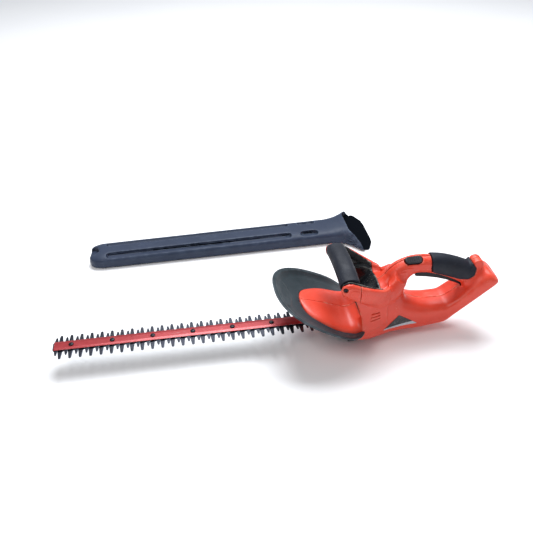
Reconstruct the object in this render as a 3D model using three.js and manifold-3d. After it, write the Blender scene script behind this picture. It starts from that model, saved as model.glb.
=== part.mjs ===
// A cordless hedge trimmer, bare of its battery, with its blade cover lying beside it.
// Millimetres, +Z up. The blades point along -X, the rear handle along +X, the user's left is -Y.
// Every piece is drawn in the tool's own frame: X runs back from the first long tooth, Z up from
// the top face of the long-tooth blade. The outer group then stands the tool on its foot, so the
// part's origin is the middle of the foot's flat underside.
import * as THREE from "three";
import { mergeVertices } from "three/addons/utils/BufferGeometryUtils.js";
import Module from "manifold-3d";

const wasm = await Module();
wasm.setup();

// ---- Driving dimensions -------------------------------------------------------------------
const FOOT_X = 560; // the foot's middle, behind the first long tooth
const BLADE_HEIGHT = 46; // the long-tooth blade's top face above the ground
const GAP = 0.3; // left between pieces that touch

const PITCH = 19.05; // from tooth to tooth
const TEETH = 26; // long teeth along each edge
const LONG_REACH = 32.4; // centre line to a long tooth's tip
const SHORT_REACH = 24.6; // centre line to a short tooth's tip
const SHORT_LEAD = 7.6; // the short-tooth blade stands this far ahead at rest
const SPINE = 11.5; // half width of a blade between its teeth
const BLADE_THICK = 2.0;
const SHORT_BOTTOM = 0.2; // underside of the short-tooth blade
const SHORT_THICK = 1.8;
const BAR_BOTTOM = 2.2; // underside of the support bar
const BAR_THICK = 1.6;
const BAR_HALF = 12.3;
const BOLT_FIRST = 20.4; // first blade bolt, behind the first tooth
const BOLT_PITCH = 76.2;
const BOLTS = 7;
const SHANK = 2.8; // blade bolt's shank radius

const THROW = 6; // the eccentrics' offset from the gear's axle
const SHORT_TRAVEL = [-2.2, 9.8]; // short-tooth blade's slide from rest
const GEAR_X = 585.5;
const GEAR_TEETH = 56;
const PINION_TEETH = 12;
const GEAR_MODULE = 1.25;
const GEAR_BOTTOM = 8.5;
const GEAR_THICK = 8;
const CAM_RADIUS = 10.5;
const AXLE_RADIUS = 3;
const MOTOR_X = GEAR_X + (GEAR_MODULE * (GEAR_TEETH + PINION_TEETH)) / 2 + 0.2;
const MOTOR_RADIUS = 20;
const MOTOR_BOTTOM = 21.5;
const MOTOR_TOP = 70;

const WALL = 3; // housing wall
const SEAM = 0.15; // each housing half stops this far from the middle plane

const SEAT_START = [738, -22]; // X, Z of the battery seat's lower end
const SEAT_ANGLE = THREE.MathUtils.degToRad(40.8); // the seat rises this steeply to the rear
const SEAT_HALF = 26; // half width of the battery channel
const RAIL_HALF = 30; // half width of the undercut behind the rails
const SEAT_DEPTH = 9;
const SEAT_FROM = 14; // channel's ends along the slope
const SEAT_TO = 122;

const RIM_FRONT = [407, 91.2]; // X, Z of the hand guard's front edge
const RIM_ANGLE = THREE.MathUtils.degToRad(26.6); // the guard's rim plane falls to the rear
const RIM_HALF = 100;
const RIM_LEAD = 120; // slope length ahead of the rim's widest place
const RIM_TRAIL = 76; // slope length behind it
const RIM_POWER = 2.4;

const ARM_Y = 65; // the front handle's arms, off the middle plane
const HANDLE_SPLIT_X = 554.5; // seam between the front handle and the housing's arm stubs

const COVER_LENGTH = 660;
const COVER_AT = [31, 340]; // X, Y of the cover's closed end
const COVER_TURN = THREE.MathUtils.degToRad(1.2);
const COVER_WALL = 2.2;

// ---- Colours ------------------------------------------------------------------------------
const finish = (color, roughness, metalness) => ({ color, roughness, metalness });
const ORANGE = finish(0xd9402a, 0.42, 0);
const SLATE = finish(0x39444d, 0.55, 0);
const NAVY = finish(0x1f232b, 0.7, 0);
const BLACK = finish(0x15171a, 0.5, 0);
const STEEL = finish(0x3a3c40, 0.35, 0.9);
const RED_BAR = finish(0x9c2b2f, 0.4, 0.3);
const COVER_BLUE = finish(0x364254, 0.5, 0);
const ZINC = finish(0x9a9c9e, 0.35, 0.9);
const BRASS = finish(0xb08d4a, 0.35, 0.9);
const SILVER = finish(0xa8abb0, 0.4, 0.2);
const LEAD_RED = finish(0xa02020, 0.6, 0);

// ---- Solids: small helpers ----------------------------------------------------------------

// A closed three.js geometry as a manifold solid, welded by position only.
function solid(geometry) {
  geometry.deleteAttribute("normal");
  geometry.deleteAttribute("uv");
  const welded = mergeVertices(geometry, 1e-4);
  const made = new wasm.Manifold(
    new wasm.Mesh({
      numProp: 3,
      vertProperties: new Float32Array(welded.attributes.position.array),
      triVerts: new Uint32Array(welded.index.array),
    }),
  );
  if (made.volume() <= 0) throw new Error("a solid is inside out");
  return made;
}

// A manifold solid back as a three.js geometry.
function geometryOf(made) {
  const { vertProperties, triVerts } = made.getMesh();
  const geometry = new THREE.BufferGeometry();
  geometry.setAttribute("position", new THREE.BufferAttribute(vertProperties, 3));
  geometry.setIndex(new THREE.BufferAttribute(triVerts, 1));
  return geometry;
}

const group = new THREE.Group();
group.name = "hedge_trimmer";
group.position.set(-FOOT_X, 0, BLADE_HEIGHT);

// Adds one named piece. `made` is a manifold solid or a closed geometry.
function piece(name, made, look, parent = group) {
  const geometry = made.isBufferGeometry ? made : geometryOf(made);
  geometry.computeVertexNormals();
  const mesh = new THREE.Mesh(geometry, new THREE.MeshStandardMaterial(look));
  mesh.name = name;
  parent.add(mesh);
  return mesh;
}

// Box from its low and high corners.
function box(low, high) {
  const size = high.map((value, i) => value - low[i]);
  const geometry = new THREE.BoxGeometry(...size);
  geometry.translate(...low.map((value, i) => value + size[i] / 2));
  return solid(geometry);
}

// Cylinder along Z at (x, y) from z0 to z1.
function post(x, y, z0, z1, radius, sides = 20) {
  const geometry = new THREE.CylinderGeometry(radius, radius, z1 - z0, sides);
  geometry.rotateX(Math.PI / 2).translate(x, y, (z0 + z1) / 2);
  return solid(geometry);
}

// Cylinder along Y at (x, z) from y0 to y1.
function crossPin(x, z, y0, y1, radius, sides = 12) {
  const geometry = new THREE.CylinderGeometry(radius, radius, y1 - y0, sides);
  geometry.translate(x, (y0 + y1) / 2, z);
  return solid(geometry);
}

// Flat plate: a shape in X, Y between two heights.
function plate(shape, z0, z1, curveSegments = 5) {
  const geometry = new THREE.ExtrudeGeometry(shape, {
    depth: z1 - z0,
    bevelEnabled: false,
    curveSegments,
  });
  geometry.translate(0, 0, z0);
  return solid(geometry);
}

// Side-view outline [[x, z], ...] carried across the tool from y0 to y1.
function slab(outline, y0, y1) {
  const shape = new THREE.Shape(outline.map(([x, z]) => new THREE.Vector2(x, z)));
  const geometry = new THREE.ExtrudeGeometry(shape, { depth: y1 - y0, bevelEnabled: false });
  geometry.rotateX(Math.PI / 2).translate(0, y1, 0);
  return solid(geometry);
}

// Closed skin through rings of points, each ring closed by a fan at the two ends.
function ringSolid(rings) {
  const count = rings[0].length;
  const points = rings.flat();
  const centre = (ring) =>
    ring.reduce((sum, p) => sum.add(p), new THREE.Vector3()).divideScalar(ring.length);
  points.push(centre(rings[0]), centre(rings.at(-1)));
  const first = points.length - 2;
  const last = points.length - 1;
  const faces = [];
  for (let i = 0; i < rings.length - 1; i++) {
    for (let j = 0; j < count; j++) {
      const k = (j + 1) % count;
      const [a, b] = [i * count + j, i * count + k];
      faces.push(a, b, b + count, a, b + count, a + count);
    }
  }
  const tail = (rings.length - 1) * count;
  for (let j = 0; j < count; j++) {
    const k = (j + 1) % count;
    faces.push(first, k, j, last, tail + j, tail + k);
  }
  return closedSkin(points, faces);
}

// Closed skin through rings that follow each other round a loop.
function loopSolid(rings) {
  const count = rings[0].length;
  const faces = [];
  for (let i = 0; i < rings.length; i++) {
    const next = (i + 1) % rings.length;
    for (let j = 0; j < count; j++) {
      const k = (j + 1) % count;
      const [a, b] = [i * count + j, i * count + k];
      const [c, d] = [next * count + j, next * count + k];
      faces.push(a, b, d, a, d, c);
    }
  }
  return closedSkin(rings.flat(), faces);
}

// Builds the solid and turns its faces outwards if they point in.
function closedSkin(points, faces) {
  const make = (order) => {
    const geometry = new THREE.BufferGeometry().setFromPoints(points);
    geometry.setIndex(order);
    return geometry;
  };
  const mesh = (geometry) =>
    new wasm.Manifold(
      new wasm.Mesh({
        numProp: 3,
        vertProperties: new Float32Array(geometry.attributes.position.array),
        triVerts: new Uint32Array(geometry.index.array),
      }),
    );
  const made = mesh(make(faces));
  if (made.volume() > 0) return made;
  const turned = [];
  for (let i = 0; i < faces.length; i += 3) turned.push(faces[i], faces[i + 2], faces[i + 1]);
  return mesh(make(turned));
}

// The largest of a solid's separate bodies.
function largest(made) {
  return made.decompose().sort((a, b) => b.volume() - a.volume())[0];
}

// Rounded-box curve: cosine and sine bent by the power n (2 is an ellipse).
function bent(value, n) {
  return Math.sign(value) * Math.abs(value) ** (2 / n);
}

// ---- Housing body -------------------------------------------------------------------------
// Cross-sections from the nose to the rear end: X, half width, bottom, widest height, top, power.
const SEAT_SLOPE = Math.tan(SEAT_ANGLE);
const seatZ = (x) => SEAT_START[1] + (x - SEAT_START[0]) * SEAT_SLOPE;
const BODY = [
  [456.5, 9, 46, 50, 55.2, 2],
  [460, 24, 41, 47.5, 54.5, 2],
  [466, 36, 35, 43.5, 53, 2.1],
  [478, 46.5, 26, 37.5, 49, 2.2],
  [502, 58.5, 10, 25.5, 41, 2.4],
  [517, 63, -1, 18, 35, 2.4],
  [532, 65, -12, 11, 29, 2.4],
  [547, 64.5, -22, 6, 25, 2.5],
  [560, 62, -29, 3, 29, 2.6],
  [572, 58, -34, 3, 41, 2.8],
  [589, 52.5, -36.5, 4, 62.5, 3.1],
  [606, 46.5, -36, 4, 83, 3.2],
  [618, 44, -35, 4, 86, 3],
  [632, 41, -34, 3, 74, 2.8],
  [650, 38, -33, 2, 52, 2.8],
  [672, 36, -32, 0, 37, 3],
  [692, 35.5, -30, 0, 29, 3.4],
  [713, 35, -26.5, 2, 25.5, 3.6],
  [738, 34.5, seatZ(738), 4, 25, 4],
  [760, 34.2, seatZ(760), 17, 36, 5],
  [782, 34, seatZ(782), 31, 57, 4.8],
  [808, 34, seatZ(808), 49, 83, 4],
  [822, 34, seatZ(822), 60, 88, 3.6],
  [832, 33.5, seatZ(832), 67, 82, 3.6],
  [839, 31, 65.5, 70, 75.5, 3],
];

// The body with its skin moved out by `grow` (in, if it is negative).
function bodySolid(grow, sides = 16) {
  const end = BODY.length - 1;
  const rings = BODY.map(([x, half, low, mid, high, power], i) => {
    const shift = i === 0 ? -grow : i === end ? grow : 0;
    const ring = [];
    for (let j = 0; j < sides; j++) {
      const angle = (2 * Math.PI * j) / sides;
      const rise = bent(Math.sin(angle), power);
      const reach = rise > 0 ? high + grow - mid : mid - low + grow;
      const across = (half + grow) * bent(Math.cos(angle), power);
      ring.push(new THREE.Vector3(x + shift, across, mid + rise * reach));
    }
    return ring;
  });
  return ringSolid(rings);
}

// ---- Rear handle --------------------------------------------------------------------------
// A loop from the body's middle up, back and down to the rear end: X, Z, half height, half width.
const LOOP = [
  [628, 30, 30, 33],
  [634, 64, 27, 27],
  [648, 94, 23, 20],
  [671, 109, 19, 17],
  [696, 110, 18.5, 16.5],
  [724, 104.5, 21, 16],
  [752, 94, 22, 16.5],
  [779, 80, 23, 18],
  [803, 64, 27, 24],
];

function loopTube(grow, sides = 12) {
  const rings = LOOP.map(([x, z, tall, wide], i) => {
    const before = LOOP[Math.max(i - 1, 0)];
    const after = LOOP[Math.min(i + 1, LOOP.length - 1)];
    const along = new THREE.Vector2(after[0] - before[0], after[1] - before[1]).normalize();
    const ring = [];
    for (let j = 0; j < sides; j++) {
      const angle = (2 * Math.PI * j) / sides;
      const out = (tall + grow) * bent(Math.cos(angle), 2.3);
      const across = (wide + grow) * bent(Math.sin(angle), 2.3);
      ring.push(new THREE.Vector3(x - along.y * out, across, z + along.x * out));
    }
    return ring;
  });
  return ringSolid(rings);
}

// The rounded knob where the handle ends.
const KNOB = { x: 801, z: 99, radius: 12, half: 13 };
const knob = (grow) =>
  crossPin(KNOB.x, KNOB.z, -KNOB.half - grow, KNOB.half + grow, KNOB.radius + grow, 16);

// ---- Front handle's arms ------------------------------------------------------------------
// One arm, left (side -1) or right (side 1): X, distance from the middle, Z, half height, half
// thickness. It falls back from the handle bar, closes in on the body and runs into its top.
const ARM = [
  [519.5, ARM_Y, 118, 5, 3.5],
  [523, ARM_Y, 117.5, 10.5, 6.5],
  [531, ARM_Y, 115, 16, 8.6],
  [546, ARM_Y + 0.5, 108, 17, 9],
  [563, ARM_Y - 2, 98, 17.5, 9],
  [584, 55, 85.5, 18, 9],
  [606, 44, 73, 20, 9.5],
  [627.6, 31, 72, 19, 10],
  [646, 20, 90, 15, 10],
];
// The cheek below an arm closes the side of the hand space: same numbers, its rings upright.
const CHEEK = [
  [555, 54, 56, 38, 4],
  [572, 50.5, 50, 38, 5],
  [590, 46, 46, 36, 6],
  [612, 38, 44, 34, 7],
];

function armSolid(side, rows = ARM, upright = false, sides = 12) {
  const rings = rows.map(([x, y, z, tall, thick], i) => {
    const before = rows[Math.max(i - 1, 0)];
    const after = rows[Math.min(i + 1, rows.length - 1)];
    const slope = upright ? 0 : after[2] - before[2];
    const along = new THREE.Vector2(after[0] - before[0], slope).normalize();
    const ring = [];
    for (let j = 0; j < sides; j++) {
      const angle = (2 * Math.PI * j) / sides;
      const out = tall * bent(Math.cos(angle), 2.4);
      const across = side * y + thick * bent(Math.sin(angle), 2.4);
      ring.push(new THREE.Vector3(x - along.y * out, across, z + along.x * out));
    }
    return ring;
  });
  return ringSolid(rings);
}

// ---- Battery seat -------------------------------------------------------------------------
// A box on the seat's slope: from and to along the slope, half width, low and high off the seat.
function seatBox(from, to, half, low, high) {
  const geometry = new THREE.BoxGeometry(to - from, 2 * half, high - low);
  geometry.translate((from + to) / 2, 0, (low + high) / 2);
  geometry.rotateY(-SEAT_ANGLE).translate(SEAT_START[0], 0, SEAT_START[1]);
  return solid(geometry);
}

const channel = (grow) =>
  seatBox(SEAT_FROM - grow, SEAT_TO + grow, SEAT_HALF + grow, -12, SEAT_DEPTH + grow).add(
    seatBox(SEAT_FROM - grow, SEAT_TO + grow, RAIL_HALF + grow, 3 - grow, SEAT_DEPTH + grow),
  );

// ---- Trigger, lock-off button -------------------------------------------------------------
// The trigger hangs below the handle: its lower edge, front to rear.
const TRIGGER_EDGE = [
  [680, 84.5],
  [703, 80.5],
  [725, 75],
  [743, 68.5],
  [761, 60],
  [776, 52],
];
const TRIGGER_HALF = 6.5;
const TRIGGER_DEEP = 15; // from its lower edge up into the handle

function triggerOutline(low, high, ends) {
  const start = [TRIGGER_EDGE[0][0] - ends, TRIGGER_EDGE[0][1]];
  const stop = [TRIGGER_EDGE.at(-1)[0] + ends, TRIGGER_EDGE.at(-1)[1] - ends * 0.5];
  const edge = [start, ...TRIGGER_EDGE.slice(1, -1), stop];
  const under = edge.map(([x, z]) => [x, z + low]);
  const over = edge.map(([x, z]) => [x, z + high]).reverse();
  return [...under, ...over];
}

const BUTTON = { x: 672, y: -7.2, z: 125.4, length: 33, width: 15, tilt: 0.42 };

// A stadium-shaped plug square to the handle's left shoulder, from low to high along its tilt.
function buttonPlug(grow, low, high) {
  const radius = BUTTON.width / 2 + grow;
  const run = BUTTON.length / 2 - BUTTON.width / 2;
  const shape = new THREE.Shape();
  shape.absarc(run, 0, radius, -Math.PI / 2, Math.PI / 2, false);
  shape.absarc(-run, 0, radius, Math.PI / 2, (3 * Math.PI) / 2, false);
  const geometry = new THREE.ExtrudeGeometry(shape, {
    depth: high - low,
    bevelEnabled: false,
    curveSegments: 6,
  });
  geometry.translate(0, 0, low).rotateX(BUTTON.tilt).translate(BUTTON.x, BUTTON.y, BUTTON.z);
  return solid(geometry);
}

// ---- Housing halves -----------------------------------------------------------------------
// Screws come in from the right side: X, Z.
const SCREWS = [
  [529, 14.5],
  [656, -16],
  [716, -6],
  [652, 99],
  [737, 108],
  [785.4, 84.6],
];
const SCREW_HEAD = 3.6;
const SCREW_SHANK = 1.6;
const BOSS = 5.5;

const outer = bodySolid(0).add(loopTube(0)).add(knob(0));
const outside = bodySolid(GAP + 0.1).add(loopTube(GAP + 0.1)).add(knob(GAP + 0.1));
const arms = [-1, 1].map((side) => armSolid(side));
const behindSplit = box([HANDLE_SPLIT_X, -90, 0], [680, 90, 160]);
const cheeks = [-1, 1].map((side) => armSolid(side, CHEEK, true));
const stubs = arms[0].add(arms[1]).add(cheeks[0]).add(cheeks[1]).intersect(behindSplit);
const hollow = bodySolid(-WALL).add(loopTube(-WALL)).subtract(channel(WALL));

// Half the distance across the housing at a screw, found from the housing's own section.
function reachAt(x, z) {
  const needle = crossPin(x, z, 0, 90, 1, 6).intersect(outer);
  return needle.boundingBox().max[1];
}

function housing() {
  let shell = outer.add(stubs).subtract(hollow);
  const bosses = SCREWS.map(([x, z]) => crossPin(x, z, -90, 90, BOSS, 8));
  for (const boss of bosses) shell = shell.add(boss.intersect(outer));
  const cuts = [
    channel(0),
    slab(triggerOutline(-2, TRIGGER_DEEP + 8, 2.4), -TRIGGER_HALF - 1, TRIGGER_HALF + 1),
    buttonPlug(0.5, -12, 10),
    box([490, -29, -5.5], [560, 29, 8]), // blade mouth
    box([538, -22, -45], [578, 22, -12]), // gear opening over the bottom cover
  ];
  for (const cut of cuts) shell = shell.subtract(cut);
  for (const [x, z] of SCREWS) {
    const reach = reachAt(x, z);
    shell = shell
      .subtract(crossPin(x, z, -9, reach - 7, SCREW_SHANK + 0.3, 8))
      .subtract(crossPin(x, z, reach - 7, 90, SCREW_HEAD + 0.4, 8));
  }
  return shell;
}

// Three cooling slots low on each side, under the arm.
function ventSlots(side) {
  const slots = [];
  for (let i = 0; i < 3; i++) {
    const z = 27 + 7 * i;
    const y = side * 52;
    slots.push(box([583 + i, y - 14, z - 1.2], [603 - i, y + 14, z + 1.2]));
  }
  return slots;
}

let shell = housing();
for (const slot of [...ventSlots(-1), ...ventSlots(1)]) shell = shell.subtract(slot);
const leftSpace = box([400, -150, -100], [900, -SEAM, 200]);
const rightSpace = box([400, SEAM, -100], [900, 150, 200]);
piece("left_housing", largest(shell.intersect(leftSpace)), ORANGE);
piece("right_housing", largest(shell.intersect(rightSpace)), ORANGE);

SCREWS.forEach(([x, z], i) => {
  const reach = reachAt(x, z);
  const head = crossPin(x, z, reach - 6.7, reach - 4.2, SCREW_HEAD, 8);
  const shank = crossPin(x, z, -8.5, reach - 6.5, SCREW_SHANK, 6);
  piece(`housing_screw_${i + 1}`, head.add(shank), ZINC);
});

// ---- Hand guard ---------------------------------------------------------------------------
// The rim is an oval in a plane that falls to the rear. From the rim the guard dishes down to
// the housing's nose.
const rimFall = [Math.cos(RIM_ANGLE), -Math.sin(RIM_ANGLE)]; // X, Z of the slope, to the rear
const rimUp = [Math.sin(RIM_ANGLE), Math.cos(RIM_ANGLE)];

function rimPoint(angle, scale) {
  const lead = Math.cos(angle) > 0 ? RIM_LEAD : RIM_TRAIL;
  const down = RIM_LEAD - scale * lead * bent(Math.cos(angle), RIM_POWER);
  return [down, scale * RIM_HALF * bent(Math.sin(angle), RIM_POWER)];
}

// A point of the guard: how far out (1 is the rim), and how far off the rim plane.
function guardPoint(angle, scale, off) {
  const [down, across] = rimPoint(angle, scale);
  return new THREE.Vector3(
    RIM_FRONT[0] + down * rimFall[0] + off * rimUp[0],
    across,
    RIM_FRONT[1] + down * rimFall[1] + off * rimUp[1],
  );
}

function guardSolid(around = 36) {
  const section = [
    [0.34, -15],
    [0.6, -13.5],
    [0.8, -9],
    [0.93, -2.5],
    [1, -0.5],
    [1, -4],
    [0.93, -6.5],
    [0.8, -12.5],
    [0.6, -17],
    [0.34, -18.5],
  ];
  const rings = [];
  for (let i = 0; i < around; i++) {
    const angle = (2 * Math.PI * i) / around;
    rings.push(section.map(([scale, off]) => guardPoint(angle, scale, off)));
  }
  return loopSolid(rings);
}

piece("hand_guard", largest(guardSolid().subtract(outside)), SLATE);

// ---- Bottom cover and foot ----------------------------------------------------------------
// A tray under the gears: X, half width, low, high. Its foot carries the tool.
const TRAY = [
  [520, 34, -8, 2],
  [530, 38, -20, 2],
  [542, 36, -31, 0],
  [556, 33, -39, -5],
  [572, 29, -42, -15],
  [584, 22, -41, -25],
];
const FOOT = { from: 549, to: 571, half: 26, high: -38 };

function traySolid(sides = 16) {
  const rings = TRAY.map(([x, half, low, high]) => {
    const ring = [];
    for (let j = 0; j < sides; j++) {
      const angle = (2 * Math.PI * j) / sides;
      const y = half * bent(Math.cos(angle), 3);
      const z = (low + high) / 2 + ((high - low) / 2) * bent(Math.sin(angle), 3);
      ring.push(new THREE.Vector3(x, y, z));
    }
    return ring;
  });
  return ringSolid(rings);
}

const tray = traySolid().subtract(outside).subtract(box([500, -60, -9], [600, 60, 40]));
const foot = box([FOOT.from, -FOOT.half, -BLADE_HEIGHT], [FOOT.to, FOOT.half, FOOT.high]).subtract(outside);
piece("bottom_cover", largest(tray.add(foot)), SLATE);

// ---- Front handle -------------------------------------------------------------------------
// The bar between the arms is slightly crowned: its centre's X and Z at a distance from the middle.
const GRIP_END = 54.6;
const barAt = (y) => {
  const u = y / ARM_Y;
  return [538 - u * u, 123 - 4 * u * u];
};

function barSolid(from, to, halfX, halfZ, sides, steps) {
  const rings = [];
  for (let i = 0; i <= steps; i++) {
    const y = from + ((to - from) * i) / steps;
    const [x, z] = barAt(y);
    const ring = [];
    for (let j = 0; j < sides; j++) {
      const angle = (2 * Math.PI * j) / sides;
      const ahead = halfX * bent(Math.cos(angle), 2.3);
      const rise = halfZ * bent(Math.sin(angle), 2.3);
      ring.push(new THREE.Vector3(x + ahead, y, z + rise));
    }
    rings.push(ring);
  }
  return ringSolid(rings);
}

const core = barSolid(-ARM_Y, ARM_Y, 9, 8, 8, 8);
const aheadOfSplit = box([500, -90, 60], [HANDLE_SPLIT_X - GAP, 90, 160]);
const ARM_SCREW = { x: 526.5, z: 119, y: 69 };
const armScrewHole = (side) =>
  crossPin(ARM_SCREW.x, ARM_SCREW.z, 66.5, 90, SCREW_HEAD + 0.5).scale([1, side, 1]);
const frontHandle = core
  .add(arms[0].intersect(aheadOfSplit))
  .add(arms[1].intersect(aheadOfSplit))
  .subtract(armScrewHole(-1))
  .subtract(armScrewHole(1));
piece("front_handle", frontHandle, ORANGE);
const grip = barSolid(-GRIP_END, GRIP_END, 18.6, 14.8, 14, 8).subtract(
  barSolid(-ARM_Y, ARM_Y, 9 + 2 * GAP, 8 + 2 * GAP, 8, 8),
);
piece("front_grip", grip, NAVY);
for (const [name, side] of [["left", -1], ["right", 1]]) {
  const y = side * ARM_SCREW.y;
  const screw = crossPin(ARM_SCREW.x, ARM_SCREW.z, y - 2, y + 2, SCREW_HEAD, 12);
  piece(`${name}_handle_screw`, screw, ZINC);
}

// ---- Dark liner of the hand space ---------------------------------------------------------
// A skin on the housing's front wall between the arms.
const skinOut = bodySolid(2.4);
const linerSpace = box([557, -40, 10], [605, 40, 84]);
piece("hand_space_liner", largest(skinOut.subtract(outside).intersect(linerSpace).subtract(stubs)), NAVY);

// ---- Soft grip on the rear handle ---------------------------------------------------------
const GRIP_OUTLINE = [
  [710, 132],
  [709, 108],
  [712, 97],
  [722, 92],
  [766, 75],
  [782, 75],
  [793, 84],
  [796, 95],
  [788, 108],
  [786, 120],
];
const gripSpace = slab(GRIP_OUTLINE, -40, 40);
const rearGrip = loopTube(1.9).subtract(loopTube(GAP)).subtract(outside).intersect(gripSpace);
piece("rear_grip", largest(rearGrip), NAVY);

// ---- Side labels --------------------------------------------------------------------------
const LABEL_OUTLINE = [
  [613, -9],
  [644, 20],
  [683, -7],
];
for (const [name, side] of [["left", -1], ["right", 1]]) {
  const space = slab(LABEL_OUTLINE, Math.min(side * 60, side * 20), Math.max(side * 60, side * 20));
  const label = bodySolid(1.1).subtract(outside).intersect(space);
  piece(`${name}_label`, largest(label), SILVER);
}

// ---- Trigger, button, switch and springs --------------------------------------------------
piece("trigger", slab(triggerOutline(0, TRIGGER_DEEP, 0), -TRIGGER_HALF, TRIGGER_HALF), BLACK);
piece("lock_off_button", buttonPlug(0, -5, 1.2), BLACK);
piece("power_switch", box([694, -8, 99.5], [718, 8, 113]), BLACK);

// A coil spring along Z: the wire follows a helix.
function spring(x, y, z0, z1, radius, wire, turns) {
  const points = [];
  const steps = turns * 8;
  for (let i = 0; i <= steps; i++) {
    const angle = (2 * Math.PI * i) / 8;
    const z = z0 + ((z1 - z0) * i) / steps;
    points.push(new THREE.Vector3(radius * Math.cos(angle), radius * Math.sin(angle), z));
  }
  const shape = new THREE.Shape();
  shape.absarc(0, 0, wire, 0, 2 * Math.PI, false);
  const geometry = new THREE.ExtrudeGeometry(shape, {
    steps,
    extrudePath: new THREE.CatmullRomCurve3(points),
    curveSegments: 2,
  });
  geometry.translate(x, y, 0);
  return solid(geometry);
}

piece("trigger_spring", spring(736, 0, 88.5, 101, 4, 0.6, 3), ZINC);
piece("lock_off_spring", spring(660, -1.5, 106.5, 115, 3, 0.5, 2), ZINC);

// ---- Gears and motor ----------------------------------------------------------------------
// Spur gear outline with straight-flanked teeth; `turn` sets where the first tooth points.
function gearShape(teeth, turn) {
  const radius = (GEAR_MODULE * teeth) / 2;
  const tip = radius + 0.9 * GEAR_MODULE;
  const root = radius - 1.2 * GEAR_MODULE;
  const step = (2 * Math.PI) / teeth;
  const shape = new THREE.Shape();
  const corners = [
    [-0.3, root],
    [-0.12, tip],
    [0.12, tip],
    [0.3, root],
  ];
  for (let i = 0; i < teeth; i++) {
    for (const [share, r] of corners) {
      const angle = turn + (i + share) * step;
      const method = i === 0 && share === -0.3 ? "moveTo" : "lineTo";
      shape[method](r * Math.cos(angle), r * Math.sin(angle));
    }
  }
  return shape;
}

const gearTop = GEAR_BOTTOM + GEAR_THICK;
const gearHub = post(0, 0, 4.2, GEAR_BOTTOM + 1, 8);
const gearDisc = plate(gearShape(GEAR_TEETH, 0), GEAR_BOTTOM, gearTop).add(gearHub);
const driveGear = gearDisc.subtract(post(0, 0, 0, 30, AXLE_RADIUS + 0.2));
piece("drive_gear", driveGear.translate([GEAR_X, 0, 0]), ZINC);

// The pinion's tooth gap faces the gear's first tooth.
const pinionTurn = Math.PI + Math.PI / PINION_TEETH;
const pinionBody = plate(gearShape(PINION_TEETH, pinionTurn), GEAR_BOTTOM - 0.5, gearTop + 0.5);
const pinion = pinionBody.subtract(post(0, 0, 0, 30, 1.9, 12)).translate([MOTOR_X, 0, 0]);
piece("motor_pinion", pinion, BRASS);

// Each eccentric is a disc off the axle's centre: the upper one leads back, the lower forward.
const camUp = SHORT_BOTTOM + SHORT_THICK;
const camBore = post(GEAR_X, 0, -20, 30, AXLE_RADIUS + 0.2);
const upperCam = post(GEAR_X - THROW * 0.64, THROW * 0.77, SHORT_BOTTOM, camUp, CAM_RADIUS, 24);
const lowerCam = post(GEAR_X + THROW * 0.64, -THROW * 0.77, -BLADE_THICK, -0.1, CAM_RADIUS, 24);
piece("upper_eccentric", upperCam.add(post(GEAR_X, 0, camUp - 0.5, 3.9, 6)).subtract(camBore), STEEL);
piece("lower_eccentric", lowerCam.subtract(camBore), STEEL);
piece("gear_axle", post(GEAR_X, 0, -9, 21, AXLE_RADIUS, 16), ZINC);

// Plates above and below the gears.
const upperPlate = box([548, -29, 17.8], [656, 29, 20.8])
  .subtract(post(GEAR_X, 0, 10, 30, AXLE_RADIUS + GAP))
  .subtract(post(MOTOR_X, 0, 10, 30, 4));
piece("upper_gear_plate", upperPlate, ZINC);
const lowerPlate = box([537, -24, -8.6], [612, 24, -6.1]);
const lowerBore = post(GEAR_X, 0, -20, 10, AXLE_RADIUS + GAP);
piece("lower_gear_plate", lowerPlate.subtract(lowerBore), ZINC);

const shaftHole = post(MOTOR_X, 0, 0, 120, 2, 12);
const motorCan = post(MOTOR_X, 0, MOTOR_BOTTOM, MOTOR_TOP, MOTOR_RADIUS, 28);
const motorEndCap = post(MOTOR_X, 0, MOTOR_TOP + GAP, MOTOR_TOP + 5, 17, 24);
piece("motor_can", motorCan.subtract(shaftHole), ZINC);
piece("motor_end_cap", motorEndCap.subtract(shaftHole), BLACK);
piece("motor_shaft", post(MOTOR_X, 0, 7, MOTOR_TOP + 4, 1.6, 12), ZINC);

// ---- Blades -------------------------------------------------------------------------------
// A double-edged comb: spine, teeth on both edges, a wider tail with a window for its eccentric.
const TAIL_FROM = 500;
const TAIL_TO = 613;
const TAIL_HALF = 23.5;

function toothCorners(baseHalf, tipHalf, reach) {
  return [
    [-baseHalf, SPINE],
    [-tipHalf, reach - tipHalf * 0.6],
    [-tipHalf * 0.4, reach],
    [tipHalf * 0.4, reach],
    [tipHalf, reach - tipHalf * 0.6],
    [baseHalf, SPINE],
  ];
}

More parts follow.
